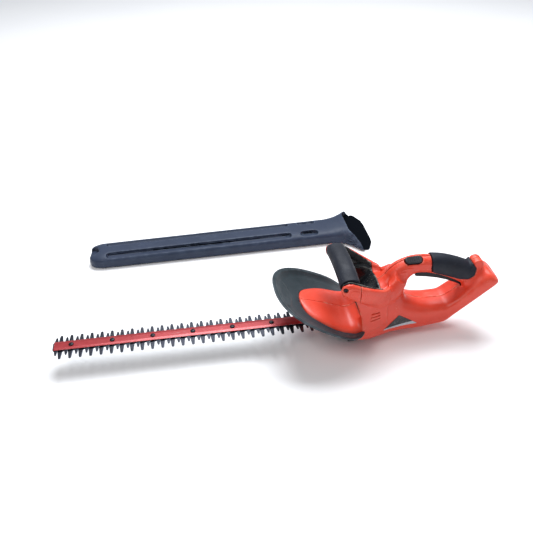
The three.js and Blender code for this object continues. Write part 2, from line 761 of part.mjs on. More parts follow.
function bladeShape({ lead, baseHalf, tipHalf, reach, tipX, window, travel }) {
  const tooth = toothCorners(baseHalf, tipHalf, reach);
  const edge = [[tipX, SPINE - 3]];
  for (let i = 0; i < TEETH; i++) {
    for (const [x, y] of tooth) edge.push([i * PITCH - lead + x, y]);
  }
  edge.push([TAIL_FROM - 12, SPINE], [TAIL_FROM, TAIL_HALF]);
  edge.push([TAIL_TO - 6, TAIL_HALF], [TAIL_TO, TAIL_HALF - 6]);
  const mirrored = edge.map(([x, y]) => [x, -y]).reverse();
  const shape = new THREE.Shape([...mirrored, ...edge].map(([x, y]) => new THREE.Vector2(x, y)));
  for (let i = 0; i < BOLTS; i++) {
    const x = BOLT_FIRST + i * BOLT_PITCH;
    shape.holes.push(slotPath(x - travel[1], x - travel[0], SHANK + 0.5));
  }
  const [from, to] = window;
  const hole = new THREE.Path();
  hole.absarc(to - 8, 9, 8, 0, Math.PI / 2, false);
  hole.absarc(from + 8, 9, 8, Math.PI / 2, Math.PI, false);
  hole.absarc(from + 8, -9, 8, Math.PI, 1.5 * Math.PI, false);
  hole.absarc(to - 8, -9, 8, 1.5 * Math.PI, 2 * Math.PI, false);
  shape.holes.push(hole);
  return shape;
}

// A round-ended slot along X between two bolt centres.
function slotPath(x0, x1, radius) {
  const path = new THREE.Path();
  path.absarc(x1, 0, radius, -Math.PI / 2, Math.PI / 2, false);
  path.absarc(x0, 0, radius, Math.PI / 2, 1.5 * Math.PI, false);
  return path;
}

const SWEPT = THROW + CAM_RADIUS + 0.6;
const longTravel = [-SHORT_TRAVEL[1], -SHORT_TRAVEL[0]];
const windowFor = (travel) => [GEAR_X - SWEPT - travel[1], GEAR_X + SWEPT - travel[0]];
const longBlade = bladeShape({
  lead: 0,
  baseHalf: 4.8,
  tipHalf: 2.5,
  reach: LONG_REACH,
  tipX: -11.5,
  window: windowFor(longTravel),
  travel: longTravel,
});
const shortBlade = bladeShape({
  lead: SHORT_LEAD,
  baseHalf: 3.6,
  tipHalf: 1.6,
  reach: SHORT_REACH,
  tipX: -14,
  window: windowFor(SHORT_TRAVEL),
  travel: SHORT_TRAVEL,
});
piece("long_tooth_blade", plate(longBlade, -BLADE_THICK, 0, 2), STEEL);
piece("short_tooth_blade", plate(shortBlade, SHORT_BOTTOM, SHORT_BOTTOM + SHORT_THICK, 2), STEEL);

const barShape = new THREE.Shape([
  new THREE.Vector2(-12, -BAR_HALF),
  new THREE.Vector2(548, -BAR_HALF),
  new THREE.Vector2(548, BAR_HALF),
  new THREE.Vector2(-12, BAR_HALF),
]);
for (let i = 0; i < BOLTS; i++) {
  const hole = new THREE.Path();
  hole.absarc(BOLT_FIRST + i * BOLT_PITCH, 0, SHANK + GAP, 0, 2 * Math.PI, false);
  barShape.holes.push(hole);
}
const barTop = BAR_BOTTOM + BAR_THICK;
piece("support_bar", plate(barShape, BAR_BOTTOM, barTop, 5), RED_BAR);

// Blade bolts: domed heads above the bar, hexagonal nuts under the long-tooth blade.
const NUT_TOP = -BLADE_THICK - GAP;
const NUT_HIGH = 4;
for (let i = 0; i < BOLTS; i++) {
  const x = BOLT_FIRST + i * BOLT_PITCH;
  const head = barTop + GAP;
  const profile = [
    [0, NUT_TOP - NUT_HIGH - 0.8],
    [SHANK, NUT_TOP - NUT_HIGH - 0.8],
    [SHANK, head],
    [4.8, head],
    [4.4, head + 1.3],
    [2.6, head + 2.1],
    [0, head + 2.4],
  ];
  const turned = new THREE.LatheGeometry(
    profile.map(([r, z]) => new THREE.Vector2(r, z)),
    8,
  );
  turned.rotateX(Math.PI / 2).translate(x, 0, 0);
  piece(`blade_bolt_${i + 1}`, solid(turned), STEEL);
  const nut = post(x, 0, NUT_TOP - NUT_HIGH, NUT_TOP, 5, 6).subtract(post(x, 0, -20, 10, SHANK + GAP, 10));
  piece(`blade_nut_${i + 1}`, nut, STEEL);
}

// ---- Battery terminals and leads ----------------------------------------------------------
const terminalBlock = seatBox(96, 116, 15, SEAT_DEPTH - 5, SEAT_DEPTH - GAP);
piece("terminal_block", terminalBlock, BLACK);
for (const [name, y] of [["positive", -8], ["negative", 8]]) {
  const blade = seatBox(84, 95.6, 0.5, SEAT_DEPTH - 4.5, SEAT_DEPTH - 1);
  piece(`${name}_terminal`, blade.translate([0, y, 0]), BRASS);
}

// A wire along a smooth route of [x, y, z] points.
function lead(route, radius) {
  const shape = new THREE.Shape();
  shape.absarc(0, 0, radius, 0, 2 * Math.PI, false);
  const geometry = new THREE.ExtrudeGeometry(shape, {
    steps: 14,
    extrudePath: new THREE.CatmullRomCurve3(route.map((p) => new THREE.Vector3(...p))),
    curveSegments: 4,
  });
  return solid(geometry);
}

const batteryLead = [
  [792, 4, 62],
  [780, 9, 70.5],
  [762, 9.3, 84],
  [742, 9.3, 94],
  [728, 8, 104],
  [719.5, 4, 111],
];
const motorLead = [
  [693, -4, 112],
  [676, 2, 104],
  [662, 6, 92],
  [650, 9, 84],
  [MOTOR_X + 6, 8, MOTOR_TOP + 6.5],
];
piece("battery_lead", lead(batteryLead, 1.3), LEAD_RED);
piece("motor_lead", lead(motorLead, 1.3), BLACK);

// ---- Blade cover --------------------------------------------------------------------------
// A flattened tube, closed and rounded at the tip end and flared wide at the mouth: distance
// from the closed end, half width at the top, half width at the ground, underside, height.
const COVER = [
  [0, 8, 8, 7, 19],
  [4, 20, 20, 3, 22],
  [14, 31, 31, 0, 25],
  [34, 36.5, 36.5, 0, 28],
  [200, 37, 37, 0, 29],
  [555, 37.5, 37.5, 0, 31],
  [580, 39, 41, 0, 34],
  [598, 44, 50, 0, 38],
  [612, 52, 66, 0, 40],
  [626, 60, 84, 0, 41],
  [COVER_LENGTH, 66, 96, 0, 41],
];
const COVER_HOLLOW_FROM = 36;

function coverRing(s, top, foot, low, high, sides) {
  const ring = [];
  for (let j = 0; j < sides; j++) {
    const angle = (2 * Math.PI * j) / sides;
    const corner = j > sides / 2 ? 8 : 3.2; // the floor's edges are sharper than the roof's
    const rise = bent(Math.sin(angle), corner);
    const half = (foot + top) / 2 + ((top - foot) / 2) * rise;
    const z = (low + high) / 2 + ((high - low) / 2) * rise;
    ring.push(new THREE.Vector3(s, half * bent(Math.cos(angle), corner), z));
  }
  return ring;
}

function coverSolid(sides = 16) {
  const outerRings = COVER.map((row) => coverRing(...row, sides));
  const innerRings = COVER.slice(3).map(([s, top, foot, low, high], i) => {
    const past = s === COVER_LENGTH ? 1 : 0;
    const at = i === 0 ? COVER_HOLLOW_FROM : s + past;
    const [t, f] = [top - COVER_WALL, foot - COVER_WALL];
    return coverRing(at, t, f, low + COVER_WALL, high - COVER_WALL, sides);
  });
  return ringSolid(outerRings).subtract(ringSolid(innerRings));
}

// The mouth's roof is cut back, its walls slope down to a long floor, and the floor's corners
// are cut off. The hanging hole goes through the closed end.
const mouthCut = [
  [COVER_LENGTH - 60, 60],
  [COVER_LENGTH - 57, 36],
  [COVER_LENGTH - 46, 30],
  [COVER_LENGTH - 36, 18],
  [COVER_LENGTH - 30, 5],
  [COVER_LENGTH - 26, 2.6],
  [COVER_LENGTH + 10, 2.6],
  [COVER_LENGTH + 10, 60],
];
const FLOOR_CORNER = [
  [COVER_LENGTH - 34, 88],
  [COVER_LENGTH - 14, 74],
  [COVER_LENGTH - 2, 48],
  [COVER_LENGTH, 30],
  [COVER_LENGTH + 20, 30],
  [COVER_LENGTH + 20, 120],
  [COVER_LENGTH - 34, 120],
];
const floorCorner = (side) =>
  plate(new THREE.Shape(FLOOR_CORNER.map(([s, y]) => new THREE.Vector2(s, side * y))), -10, 60);
const cover = coverSolid()
  .subtract(slab(mouthCut, -110, 110))
  .subtract(floorCorner(-1))
  .subtract(floorCorner(1))
  .subtract(post(19, 0, -10, 60, 5, 14));
const coverGroup = new THREE.Group();
coverGroup.position.set(COVER_AT[0], COVER_AT[1], -BLADE_HEIGHT);
coverGroup.rotation.z = COVER_TURN;
group.add(coverGroup);
piece("blade_cover", cover, COVER_BLUE, coverGroup);

export default group;
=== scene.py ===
# A hedge trimmer and its blade cover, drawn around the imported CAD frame.
import math
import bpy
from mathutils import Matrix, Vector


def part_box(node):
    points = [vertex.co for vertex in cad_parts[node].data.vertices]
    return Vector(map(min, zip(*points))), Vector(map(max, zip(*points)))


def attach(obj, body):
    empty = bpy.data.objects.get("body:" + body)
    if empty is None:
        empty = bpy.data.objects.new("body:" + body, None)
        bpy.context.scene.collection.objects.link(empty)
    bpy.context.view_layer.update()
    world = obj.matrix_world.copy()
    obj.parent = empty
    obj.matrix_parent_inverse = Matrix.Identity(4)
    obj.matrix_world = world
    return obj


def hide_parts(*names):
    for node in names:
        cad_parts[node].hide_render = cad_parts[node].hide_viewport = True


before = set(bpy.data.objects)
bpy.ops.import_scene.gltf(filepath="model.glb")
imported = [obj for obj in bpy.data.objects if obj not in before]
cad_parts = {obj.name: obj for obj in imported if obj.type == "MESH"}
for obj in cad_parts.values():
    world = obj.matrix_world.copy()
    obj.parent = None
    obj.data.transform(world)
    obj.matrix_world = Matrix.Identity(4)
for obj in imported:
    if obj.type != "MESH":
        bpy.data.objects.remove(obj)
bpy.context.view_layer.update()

from types import SimpleNamespace

import bmesh
import bpy
import numpy as np
from mathutils import Matrix, Vector

MM = 0.001
# The tool's own frame, in millimetres: X runs back from the first long tooth, Z up from the
# long-tooth blade's top face, Y = 0 is the middle plane. TOOL_AT is its origin in the row frame.
BLADE_TIP_X = 11.5  # the blade reaches this far ahead of the first tooth
blade_low, blade_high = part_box("long_tooth_blade")
TOOL_AT = np.array([blade_low.x / MM + BLADE_TIP_X, 0, blade_high.z / MM])

GAP = 0.3
WALL = 3.0
SEAM = 0.15

# ---- Camera
CAMERA_AT = (-0.3103, -1.0247, 0.9370)
CAMERA_YAW = 0.13965
CAMERA_DIP = 0.62859
CAMERA_ROLL = -0.0177
CAMERA_LENS = 47.31


def add_camera():
    """The camera looks along +Y, turned right by the yaw, down by the dip and rolled."""
    yaw, dip = CAMERA_YAW, CAMERA_DIP
    ahead = Vector((math.sin(yaw) * math.cos(dip), math.cos(yaw) * math.cos(dip), -math.sin(dip)))
    right = Vector((math.cos(yaw), -math.sin(yaw), 0))
    up = right.cross(ahead)
    roll = Matrix.Rotation(CAMERA_ROLL, 3, ahead)
    turn = Matrix((roll.inverted() @ right, roll.inverted() @ up, -ahead)).transposed()
    camera = bpy.data.objects.new("camera", bpy.data.cameras.new("camera"))
    camera.data.lens = CAMERA_LENS
    camera.data.clip_start = 0.02
    camera.matrix_world = Matrix.Translation(CAMERA_AT) @ turn.to_4x4()
    bpy.context.scene.collection.objects.link(camera)
    bpy.context.scene.camera = camera


add_camera()

# ---- Solids from distances
# A shape is an array of distances to its skin, negative inside, over a grid of points.


class Grid:
    """A box of points `step` apart, in millimetres. x, y and z broadcast against each other."""

    def __init__(self, low, high, step):
        self.low = np.array(low, float)
        self.step = step
        counts = np.ceil((np.array(high, float) - self.low) / step).astype(int) + 1
        lines = [self.low[i] + step * np.arange(counts[i]) for i in range(3)]
        self.x = lines[0][:, None, None]
        self.y = lines[1][None, :, None]
        self.z = lines[2][None, None, :]


def join(a, b, blend=0.0):
    """Both shapes together, with a fillet about `blend` wide where they meet."""
    if blend <= 0:
        return np.minimum(a, b)
    share = np.clip(0.5 + 0.5 * (b - a) / blend, 0, 1)
    return b + (a - b) * share - blend * share * (1 - share)


def common(a, b, blend=0.0):
    """What both shapes hold, with its edge rounded by `blend`."""
    return -join(-a, -b, blend)


def cut(a, b, blend=0.0):
    """The first shape without the second."""
    return -join(-a, b, blend)


def evened(field, step):
    """The field with its slope brought to about one, so that it measures real distances."""
    slopes = np.gradient(field, step)
    return field / np.maximum(np.sqrt(sum(s * s for s in slopes)), 0.6)


def eased(rows, x):
    """Columns 1, 2, ... of the rows at x (column 0), on curves that never overshoot."""
    rows = np.array(rows, float)
    at, values = rows[:, 0], rows[:, 1:]
    run = np.diff(at)[:, None]
    slope = np.diff(values, axis=0) / run
    tangent = np.zeros_like(values)
    left, right = slope[:-1], slope[1:]
    same = left * right > 0
    total = np.where(same, left + right, 1)
    tangent[1:-1] = np.where(same, 2 * left * right / total, 0)
    tangent[0], tangent[-1] = slope[0], slope[-1]
    place = np.clip(x.ravel(), at[0], at[-1])
    i = np.clip(np.searchsorted(at, place) - 1, 0, len(at) - 2)
    h = run[i]
    t = ((place - at[i])[:, None]) / h
    a, b = values[i], values[i + 1]
    p, q = tangent[i] * h, tangent[i + 1] * h
    out = (2 * t**3 - 3 * t**2 + 1) * a + (t**3 - 2 * t**2 + t) * p
    out += (3 * t**2 - 2 * t**3) * b + (t**3 - t**2) * q
    return [column.reshape(x.shape) for column in out.T]


def rounded_section(across, rise, half, tall, power):
    """Distance to a rounded-box section, measured along the ray from its middle."""
    ratio = (np.abs(across / half) ** power + np.abs(rise / tall) ** power) ** (1 / power)
    ray = np.sqrt(across**2 + rise**2)
    return ray - ray / np.maximum(ratio, 1e-4)


def spine(rows, steps):
    """Points on a smooth curve through rows of numbers, `steps` to a span."""
    rows = np.array(rows, float)
    ends = np.vstack([2 * rows[0] - rows[1], rows, 2 * rows[-1] - rows[-2]])
    out = []
    for i in range(len(rows) - 1):
        a, b, c, d = ends[i : i + 4]
        for t in np.arange(steps) / steps:
            bend = 2 * a - 5 * b + 4 * c - d
            twist = 3 * (b - c) + d - a
            out.append(b + 0.5 * t * (c - a + t * (bend + t * twist)))
    out.append(rows[-1])
    return np.array(out)


def side_view(grid):
    """X and Z of the grid's points, on one layer."""
    gx = np.broadcast_to(grid.x, (grid.x.size, 1, grid.z.size))
    return gx, np.broadcast_to(grid.z, gx.shape)


def swept(grid, rows, power, side=1):
    """A tube along a side-view curve. Rows: X, Z, half height, half width, Y."""
    points = spine(rows, 8)
    gx, gz = side_view(grid)
    best = np.full(gx.shape, 1e9)
    out = np.zeros(gx.shape)
    past = np.zeros(gx.shape)
    size = [np.zeros(gx.shape) for _ in range(3)]
    last = len(points) - 2
    for i, (p, q) in enumerate(zip(points[:-1], points[1:])):
        run = q[:2] - p[:2]
        length = np.hypot(*run)
        ahead = run / length
        dx, dz = gx - p[0], gz - p[1]
        along = dx * ahead[0] + dz * ahead[1]
        t = np.clip(along / length, 0, 1)
        off = -dx * ahead[1] + dz * ahead[0]
        near = np.hypot(dx - t * run[0], dz - t * run[1])
        closer = near < best
        best = np.where(closer, near, best)
        out = np.where(closer, off, out)
        beyond = np.zeros(gx.shape)
        if i == 0:
            beyond = np.maximum(-along, 0)
        if i == last:
            beyond = np.maximum(beyond, along - length)
        past = np.where(closer, beyond, past)
        for k in range(3):
            size[k] = np.where(closer, p[2 + k] + t * (q[2 + k] - p[2 + k]), size[k])
    tall, wide, middle = size
    ring = rounded_section(grid.y * side - middle, out, wide, tall, power)
    return common(ring, past - 0.01, 1.0)


def block(grid, low, high, radius=0.0):
    """A box with rounded edges, from its low and high corners."""
    lines = zip((grid.x, grid.y, grid.z), low, high)
    x, y, z = (np.maximum(a - line, line - b) + radius for line, a, b in lines)
    outside = np.sqrt(np.maximum(x, 0) ** 2 + np.maximum(y, 0) ** 2 + np.maximum(z, 0) ** 2)
    return outside + np.minimum(np.maximum(np.maximum(x, y), z), 0) - radius


def outline(grid, corners, radius=0.0):
    """A side-view outline [(x, z), ...] carried right across, its corners rounded by radius."""
    gx, gz = side_view(grid)
    near = np.full(gx.shape, 1e9)
    inside = np.zeros(gx.shape, bool)
    for (x0, z0), (x1, z1) in zip(corners, corners[1:] + corners[:1]):
        run = np.array([x1 - x0, z1 - z0], float)
        t = np.clip(((gx - x0) * run[0] + (gz - z0) * run[1]) / (run @ run), 0, 1)
        near = np.minimum(near, np.hypot(gx - x0 - t * run[0], gz - z0 - t * run[1]))
        spans = (z0 > gz) != (z1 > gz)
        if z1 != z0:
            inside ^= spans & (gx < x0 + (gz - z0) * run[0] / run[1])
    return np.where(inside, -near, near) - radius


def cross_pin(grid, x, z, radius):
    """A round bar right across the tool."""
    return np.hypot(grid.x - x, grid.z - z) - radius


def skin(field, grid, relax=2):
    """The surface where the field is zero: points in millimetres, and faces of four points."""
    field = np.ascontiguousarray(field, float)
    inside = field < 0
    cells = np.array(field.shape) - 1
    total = int(cells.prod())
    sums = np.zeros((3, total))
    counts = np.zeros(total)
    faces = []
    for axis in range(3):
        b, c = (axis + 1) % 3, (axis + 2) % 3
        low, high = [slice(None)] * 3, [slice(None)] * 3
        low[axis], high[axis] = slice(None, -1), slice(1, None)
        at = np.argwhere(inside[tuple(low)] != inside[tuple(high)])
        keep = (at[:, b] >= 1) & (at[:, c] >= 1) & (at[:, b] < cells[b]) & (at[:, c] < cells[c])
        at = at[keep]
        step = np.zeros(3, int)
        step[axis] = 1
        first = field[tuple(at.T)]
        second = field[tuple((at + step).T)]
        place = at.astype(float)
        place[:, axis] += first / (first - second)
        ring = []
        for db, dc in ((0, 0), (-1, 0), (-1, -1), (0, -1)):
            cell = at.copy()
            cell[:, b] += db
            cell[:, c] += dc
            flat = np.ravel_multi_index(tuple(cell.T), tuple(cells))
            counts += np.bincount(flat, minlength=total)
            for k in range(3):
                sums[k] += np.bincount(flat, weights=place[:, k], minlength=total)
            ring.append(flat)
        quad = np.stack(ring, axis=1)
        quad[first > 0] = quad[first > 0][:, ::-1]
        faces.append(quad)
    faces = np.concatenate(faces)
    used = np.flatnonzero(counts)
    number = np.full(total, -1)
    number[used] = np.arange(len(used))
    points = (sums[:, used] / counts[used]).T
    faces = number[faces]
    points = relaxed(points, faces, relax)
    points, faces = largest(points, faces)
    return grid.low + grid.step * points, faces


def sides_of(faces):
    """Every side of every face, as pairs of point numbers."""
    return np.concatenate([faces[:, [i, (i + 1) % 4]] for i in range(4)])


def relaxed(points, faces, times):
    """Points eased towards their neighbours and back, which smooths without shrinking."""
    edges = sides_of(faces)
    ends = np.concatenate([edges, edges[:, ::-1]])
    count = np.bincount(ends[:, 0], minlength=len(points))[:, None]
    for push in (0.5, -0.53) * times:
        near = points[ends[:, 1]].T
        sums = [np.bincount(ends[:, 0], weights=line, minlength=len(points)) for line in near]
        points = points + push * (np.stack(sums, axis=1) / count - points)
    return points


def largest(points, faces):
    """Only the biggest connected part of a skin."""
    label = np.arange(len(points))
    edges = sides_of(faces)
    while True:
        new = label.copy()
        low = np.minimum(label[edges[:, 0]], label[edges[:, 1]])
        np.minimum.at(new, edges[:, 0], low)
        np.minimum.at(new, edges[:, 1], low)
        new = new[new]
        if np.array_equal(new, label):
            break
        label = new
    names, sizes = np.unique(label, return_counts=True)
    keep = label == names[np.argmax(sizes)]
    number = np.cumsum(keep) - 1
    return points[keep], number[faces[keep[faces[:, 0]]]]


# ---- Pieces
materials = {}


def piece(name, points, faces, look, body="tool", place=TOOL_AT):
    """A smooth piece from points in millimetres and faces with the same number of corners."""
    mesh = bpy.data.meshes.new(name)
    placed = (np.asarray(points, float) + place) * MM
    mesh.vertices.add(len(placed))
    mesh.vertices.foreach_set("co", placed.astype(np.float32).ravel())
    mesh.loops.add(faces.size)
    mesh.loops.foreach_set("vertex_index", faces.ravel().astype(np.int32))
    mesh.polygons.add(len(faces))
    corners = faces.shape[1]
    mesh.polygons.foreach_set("loop_start", np.arange(0, faces.size, corners, dtype=np.int32))
    mesh.polygons.foreach_set("use_smooth", np.ones(len(faces), bool))
    return finished(name, mesh, look, body)


def skinned(name, field, grid, look, body="tool", relax=2):
    """A piece from the skin of a shape."""
    points, faces = skin(field, grid, relax)
    return piece(name, points, faces, look, body)


def faceted(name, points, faces, look, degrees):
    """A piece of the tool from any faces, its edges kept sharp past this angle."""
    mesh = bpy.data.meshes.new(name)
    mesh.from_pydata([tuple(point) for point in (points + TOOL_AT) * MM], [], faces)
    mesh.polygons.foreach_set("use_smooth", np.ones(len(faces), bool))
    return sharpened(finished(name, mesh, look), degrees)


def finished(name, mesh, look, body="tool"):
    """Puts a mesh in the scene, in the place of the CAD node of the same name."""
    mesh.update(calc_edges=True)
    mesh.validate()
    made = bpy.data.objects.new(name, mesh)
    bpy.context.scene.collection.objects.link(made)
    mesh.materials.clear()
    mesh.materials.append(materials[look])
    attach(made, body)
    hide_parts(name)
    return made


def sharpened(made, degrees):
    """Marks edges sharper than this angle, after turning the faces outwards."""
    shape = bmesh.new()
    shape.from_mesh(made.data)
    bmesh.ops.recalc_face_normals(shape, faces=shape.faces)
    for edge in shape.edges:
        if len(edge.link_faces) == 2 and edge.calc_face_angle(0) > math.radians(degrees):
            edge.smooth = False
    shape.to_mesh(made.data)
    shape.free()
    return made


def heights(node):
    """The underside and the top of a CAD node, in the tool's frame."""
    low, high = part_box(node)
    return low.z / MM - TOOL_AT[2], high.z / MM - TOOL_AT[2]


# ---- Finishes
class Nodes:
    """A material's node tree, with short calls for what the finishes below need."""

    def __init__(self, name):
        self.material = bpy.data.materials.new(name)
        self.material.use_nodes = True
        self.tree = self.material.node_tree
        self.shader = self.tree.nodes["Principled BSDF"]
        self.place = self.add("ShaderNodeTexCoord").outputs["Object"]

    def add(self, kind, **settings):
        node = self.tree.nodes.new(kind)
        for key, value in settings.items():
            setattr(node, key, value)
        return node

    def link(self, out, into):
        self.tree.links.new(out, into)

    def feed(self, socket, value):
        """Links a value to the shader."""
        self.link(value, self.shader.inputs[socket])

    def set(self, node, **values):
        for key, value in values.items():
            node.inputs[key.replace("_", " ")].default_value = value

    def stretched(self, scale):
        node = self.add("ShaderNodeMapping")
        node.inputs["Scale"].default_value = scale
        self.link(self.place, node.inputs["Vector"])
        return node.outputs["Vector"]

    def noise(self, scale, detail=3.0, rough=0.5, place=None, distortion=0.0):
        node = self.add("ShaderNodeTexNoise")
        self.set(node, Scale=scale, Detail=detail, Roughness=rough, Distortion=distortion)
        self.link(place or self.place, node.inputs["Vector"])
        return node.outputs["Fac"]

    def cells(self, scale, randomness=1.0):
        node = self.add("ShaderNodeTexVoronoi")
        self.set(node, Scale=scale, Randomness=randomness)
        self.link(self.place, node.inputs["Vector"])
        return node.outputs["Distance"]

    def ranged(self, value, low, high, to_low=0.0, to_high=1.0):
        node = self.add("ShaderNodeMapRange", clamp=True)
        for i, number in enumerate((low, high, to_low, to_high), start=1):
            node.inputs[i].default_value = number
        self.link(value, node.inputs[0])
        return node.outputs[0]

    def maths(self, operation, a, b):
        node = self.add("ShaderNodeMath", operation=operation)
        for socket, value in zip(node.inputs, (a, b)):
            if isinstance(value, (int, float)):
                socket.default_value = value
            else:
                self.link(value, socket)
        return node.outputs[0]

    def times(self, a, b):
        return self.maths("MULTIPLY", a, b)

    def mixed(self, share, a, b):
        node = self.add("ShaderNodeMix", data_type="RGBA")
        self.link(share, node.inputs[0])
        for socket, value in ((node.inputs[6], a), (node.inputs[7], b)):
            if isinstance(value, tuple):
                socket.default_value = (*value, 1)
            else:
                self.link(value, socket)
        return node.outputs[2]

    def bumped(self, height, distance, strength=1.0, under=None):
        node = self.add("ShaderNodeBump")
        self.set(node, Strength=strength, Distance=distance)
        self.link(height, node.inputs["Height"])
        if under:
            self.link(under, node.inputs["Normal"])
        return node.outputs["Normal"]

    def edges(self, low=0.50, high=0.56):
        """One along the outward edges, where handling wears a finish."""
        node = self.add("ShaderNodeNewGeometry")
        return self.ranged(node.outputs["Pointiness"], low, high)

    def height(self, low, high):
        """Zero at a row height of `low` metres, one at `high`."""
        node = self.add("ShaderNodeSeparateXYZ")
        self.link(self.place, node.inputs[0])
        return self.ranged(node.outputs[2], low, high)

    def facing_up(self):
        parts = self.add("ShaderNodeSeparateXYZ")
        self.link(self.add("ShaderNodeNewGeometry").outputs["Normal"], parts.inputs[0])
        return self.ranged(parts.outputs[2], 0.2, 0.5)

    def clouded(self, colour, shade, scale, detail=4.0, rough=0.6, high=0.65):
        """The colour, drifting towards the shade in soft clouds."""
        return self.mixed(self.ranged(self.noise(scale, detail, rough), 0.35, high), colour, shade)

    def finish(self, base, roughness, normal):
        """Links what every finish has, and keeps the material by its name."""
        self.feed("Base Color", base)
        self.feed("Roughness", roughness)
        self.feed("Normal", normal)
        materials[self.material.name] = self.material

    def scratches(self, width=0.035):
        """Thin marks that run mostly along the tool, in patches."""
        fine = self.noise(1.0, 2.0, 0.5, self.stretched((60, 900, 900)), 0.4)
        patch = self.ranged(self.noise(22, 2.0), 0.52, 0.66)
        line = self.ranged(fine, 0.62, 0.62 + width)
        return self.times(line, patch)


def moulded(name, colour, shade, roughness, grain=0.00004, wear_and_sheen=None, dust_and_sheen=None, specular=0.5,
            painted_floor_shade=None, hollow_dirt_and_shade=0.25):
    """Moulded plastic: fine spark texture, uneven gloss, scuffs and worn edges (on the liner a painted
    sheen), and hollows darkened by dirt and painted shade.

    Painted shade darkens what faces up close to the ground, which is the floor of the blade cover, deep
    in shadow inside its mouth.
    """
    n = Nodes(name)
    base = n.clouded(colour, shade, 9)
    marks = n.scratches()
    # Worn edges and scuffs take a paler colour; on the liner this pale colour is a painted glossy
    # sheen.
    if wear_and_sheen:
        worn = n.times(n.edges(), n.ranged(n.noise(70, 3.0), 0.42, 0.62))
        base = n.mixed(n.times(worn, 0.7), base, wear_and_sheen)
        base = n.mixed(n.times(marks, 0.45), base, wear_and_sheen)
    # A pale film of dust; on the hand guard its pale patches also serve as a painted reflection of the
    # sky.
    if dust_and_sheen:
        film = n.ranged(n.noise(30, 6.0, 0.7), 0.48, 0.78, 0.0, 0.45)
        base = n.mixed(film, base, dust_and_sheen)
    # Hollows darken partly with dirt and partly with painted shade, where light falls off inside them;
    # the cover's grooves get the most.
    dirt_and_shade = n.times(n.edges(0.495, 0.44), n.ranged(n.noise(60, 4.0), 0.3, 0.6, 0.6, 1.0))
    base = n.mixed(n.times(dirt_and_shade, hollow_dirt_and_shade), base, tuple(0.3 * c for c in colour))
    n.set(n.shader, Metallic=0.0, Specular_IOR_Level=specular)
    if painted_floor_shade:
        # Painted shade: near-black colour and dulled specular on the low, upward floor inside the
        # cover's mouth, standing in for its deep shadow.
        inside = n.times(n.facing_up(), n.height(0.012, 0.006))
        base = n.mixed(inside, base, painted_floor_shade)
        dull = n.times(n.maths("SUBTRACT", 1.0, inside), specular)
        n.feed("Specular IOR Level", dull)
    gloss = n.ranged(n.noise(45, 5.0, 0.65), 0.3, 0.7, roughness - 0.05, roughness + 0.07)
    spark = n.bumped(n.noise(1500, 2.0, 0.6), grain)
    wave = n.bumped(n.noise(28, 2.0), 0.00035, 0.5, spark)
    n.finish(base, n.maths("ADD", gloss, n.times(marks, 0.18)), wave)


def dotted(name, colour, shade, pitch_mm=2.3):
    """Soft grip: rows of small raised dots in matt rubber, shiny where hands have rubbed it."""
    n = Nodes(name)
    dot = n.cells(1000 / pitch_mm, randomness=0.0)
    raised = n.ranged(dot, 0.16, 0.34, 1.0, 0.0)
    rubbed = n.ranged(n.noise(26, 3.0), 0.5, 0.68)
    lint = n.ranged(n.noise(800, 2.0), 0.66, 0.72, 0.0, 0.5)
    base = n.mixed(lint, n.clouded(colour, shade, 14), (0.09, 0.10, 0.12))
    fine = n.bumped(n.noise(2600, 2.0), 0.00003)
    matt = n.maths("SUBTRACT", 0.62, n.times(rubbed, 0.16))
    n.finish(base, matt, n.bumped(raised, 0.00022, 0.9, fine))
    n.set(n.shader, Specular_IOR_Level=0.3)


def metal(name, colour, shade, roughness, stretch=(40, 1400, 1400), grain=0.00002, spots=None):
    """Metal with fine marks along one direction, uneven tone and, if asked, spots of stain."""
    n = Nodes(name)
    base = n.clouded(colour, shade, 35, 5.0, 0.65, 0.68)
    if spots:
        stain = n.ranged(n.noise(160, 4.0, 0.7), 0.6, 0.72, 0.0, 0.8)
        base = n.mixed(stain, base, spots)
    bright = n.edges(0.51, 0.60)
    base = n.mixed(n.times(bright, 0.6), base, tuple(min(1, 2.2 * c + 0.05) for c in colour))
    lines = n.noise(1.0, 3.0, 0.6, n.stretched(stretch))
    gloss = n.ranged(lines, 0.3, 0.7, roughness - 0.09, roughness + 0.12)
    n.finish(base, gloss, n.bumped(lines, grain))
    n.set(n.shader, Metallic=1.0)


def painted(name, colour, shade, bare):
    """Metallic paint over steel, with sap-dulled patches and chips to bare metal at the edges."""
    n = Nodes(name)
    base = n.clouded(colour, shade, 18, 5.0, 0.65)
    flake = n.ranged(n.cells(3200), 0.1, 0.5)
    base = n.mixed(n.times(flake, 0.25), base, tuple(min(1, 1.6 * c) for c in colour))
    chips = n.times(n.edges(0.52, 0.56), n.ranged(n.noise(240, 4.0, 0.7), 0.52, 0.58))
    streaks = n.times(n.scratches(0.03), 0.5)
    base = n.mixed(n.maths("MAXIMUM", chips, streaks), base, bare)
    gloss = n.ranged(n.noise(60, 5.0, 0.7), 0.3, 0.7, 0.26, 0.44)
    n.finish(base, gloss, n.bumped(n.noise(420, 3.0), 0.00004))
    n.set(n.shader, Metallic=0.35, Coat_Weight=0.35, Coat_Roughness=0.2)


def printed(name, dark, silver, split):
    """A printed film: dark above, a silver band below, the join a clean slanting line."""
    n = Nodes(name)
    parts = n.add("ShaderNodeSeparateXYZ")
    n.link(n.place, parts.inputs[0])
    slant = n.maths("ADD", parts.outputs[2], n.times(parts.outputs[0], -0.10))
    share = n.ranged(slant, split - 0.0004, split + 0.0004)
    worn = n.ranged(n.noise(180, 4.0), 0.55, 0.75, 0.0, 0.35)
    base = n.mixed(share, silver, dark)
    base = n.mixed(worn, base, (0.25, 0.24, 0.24))
    gloss = n.ranged(n.noise(90, 4.0), 0.3, 0.7, 0.22, 0.36)
    n.finish(base, gloss, n.bumped(n.noise(500, 2.0), 0.00003))


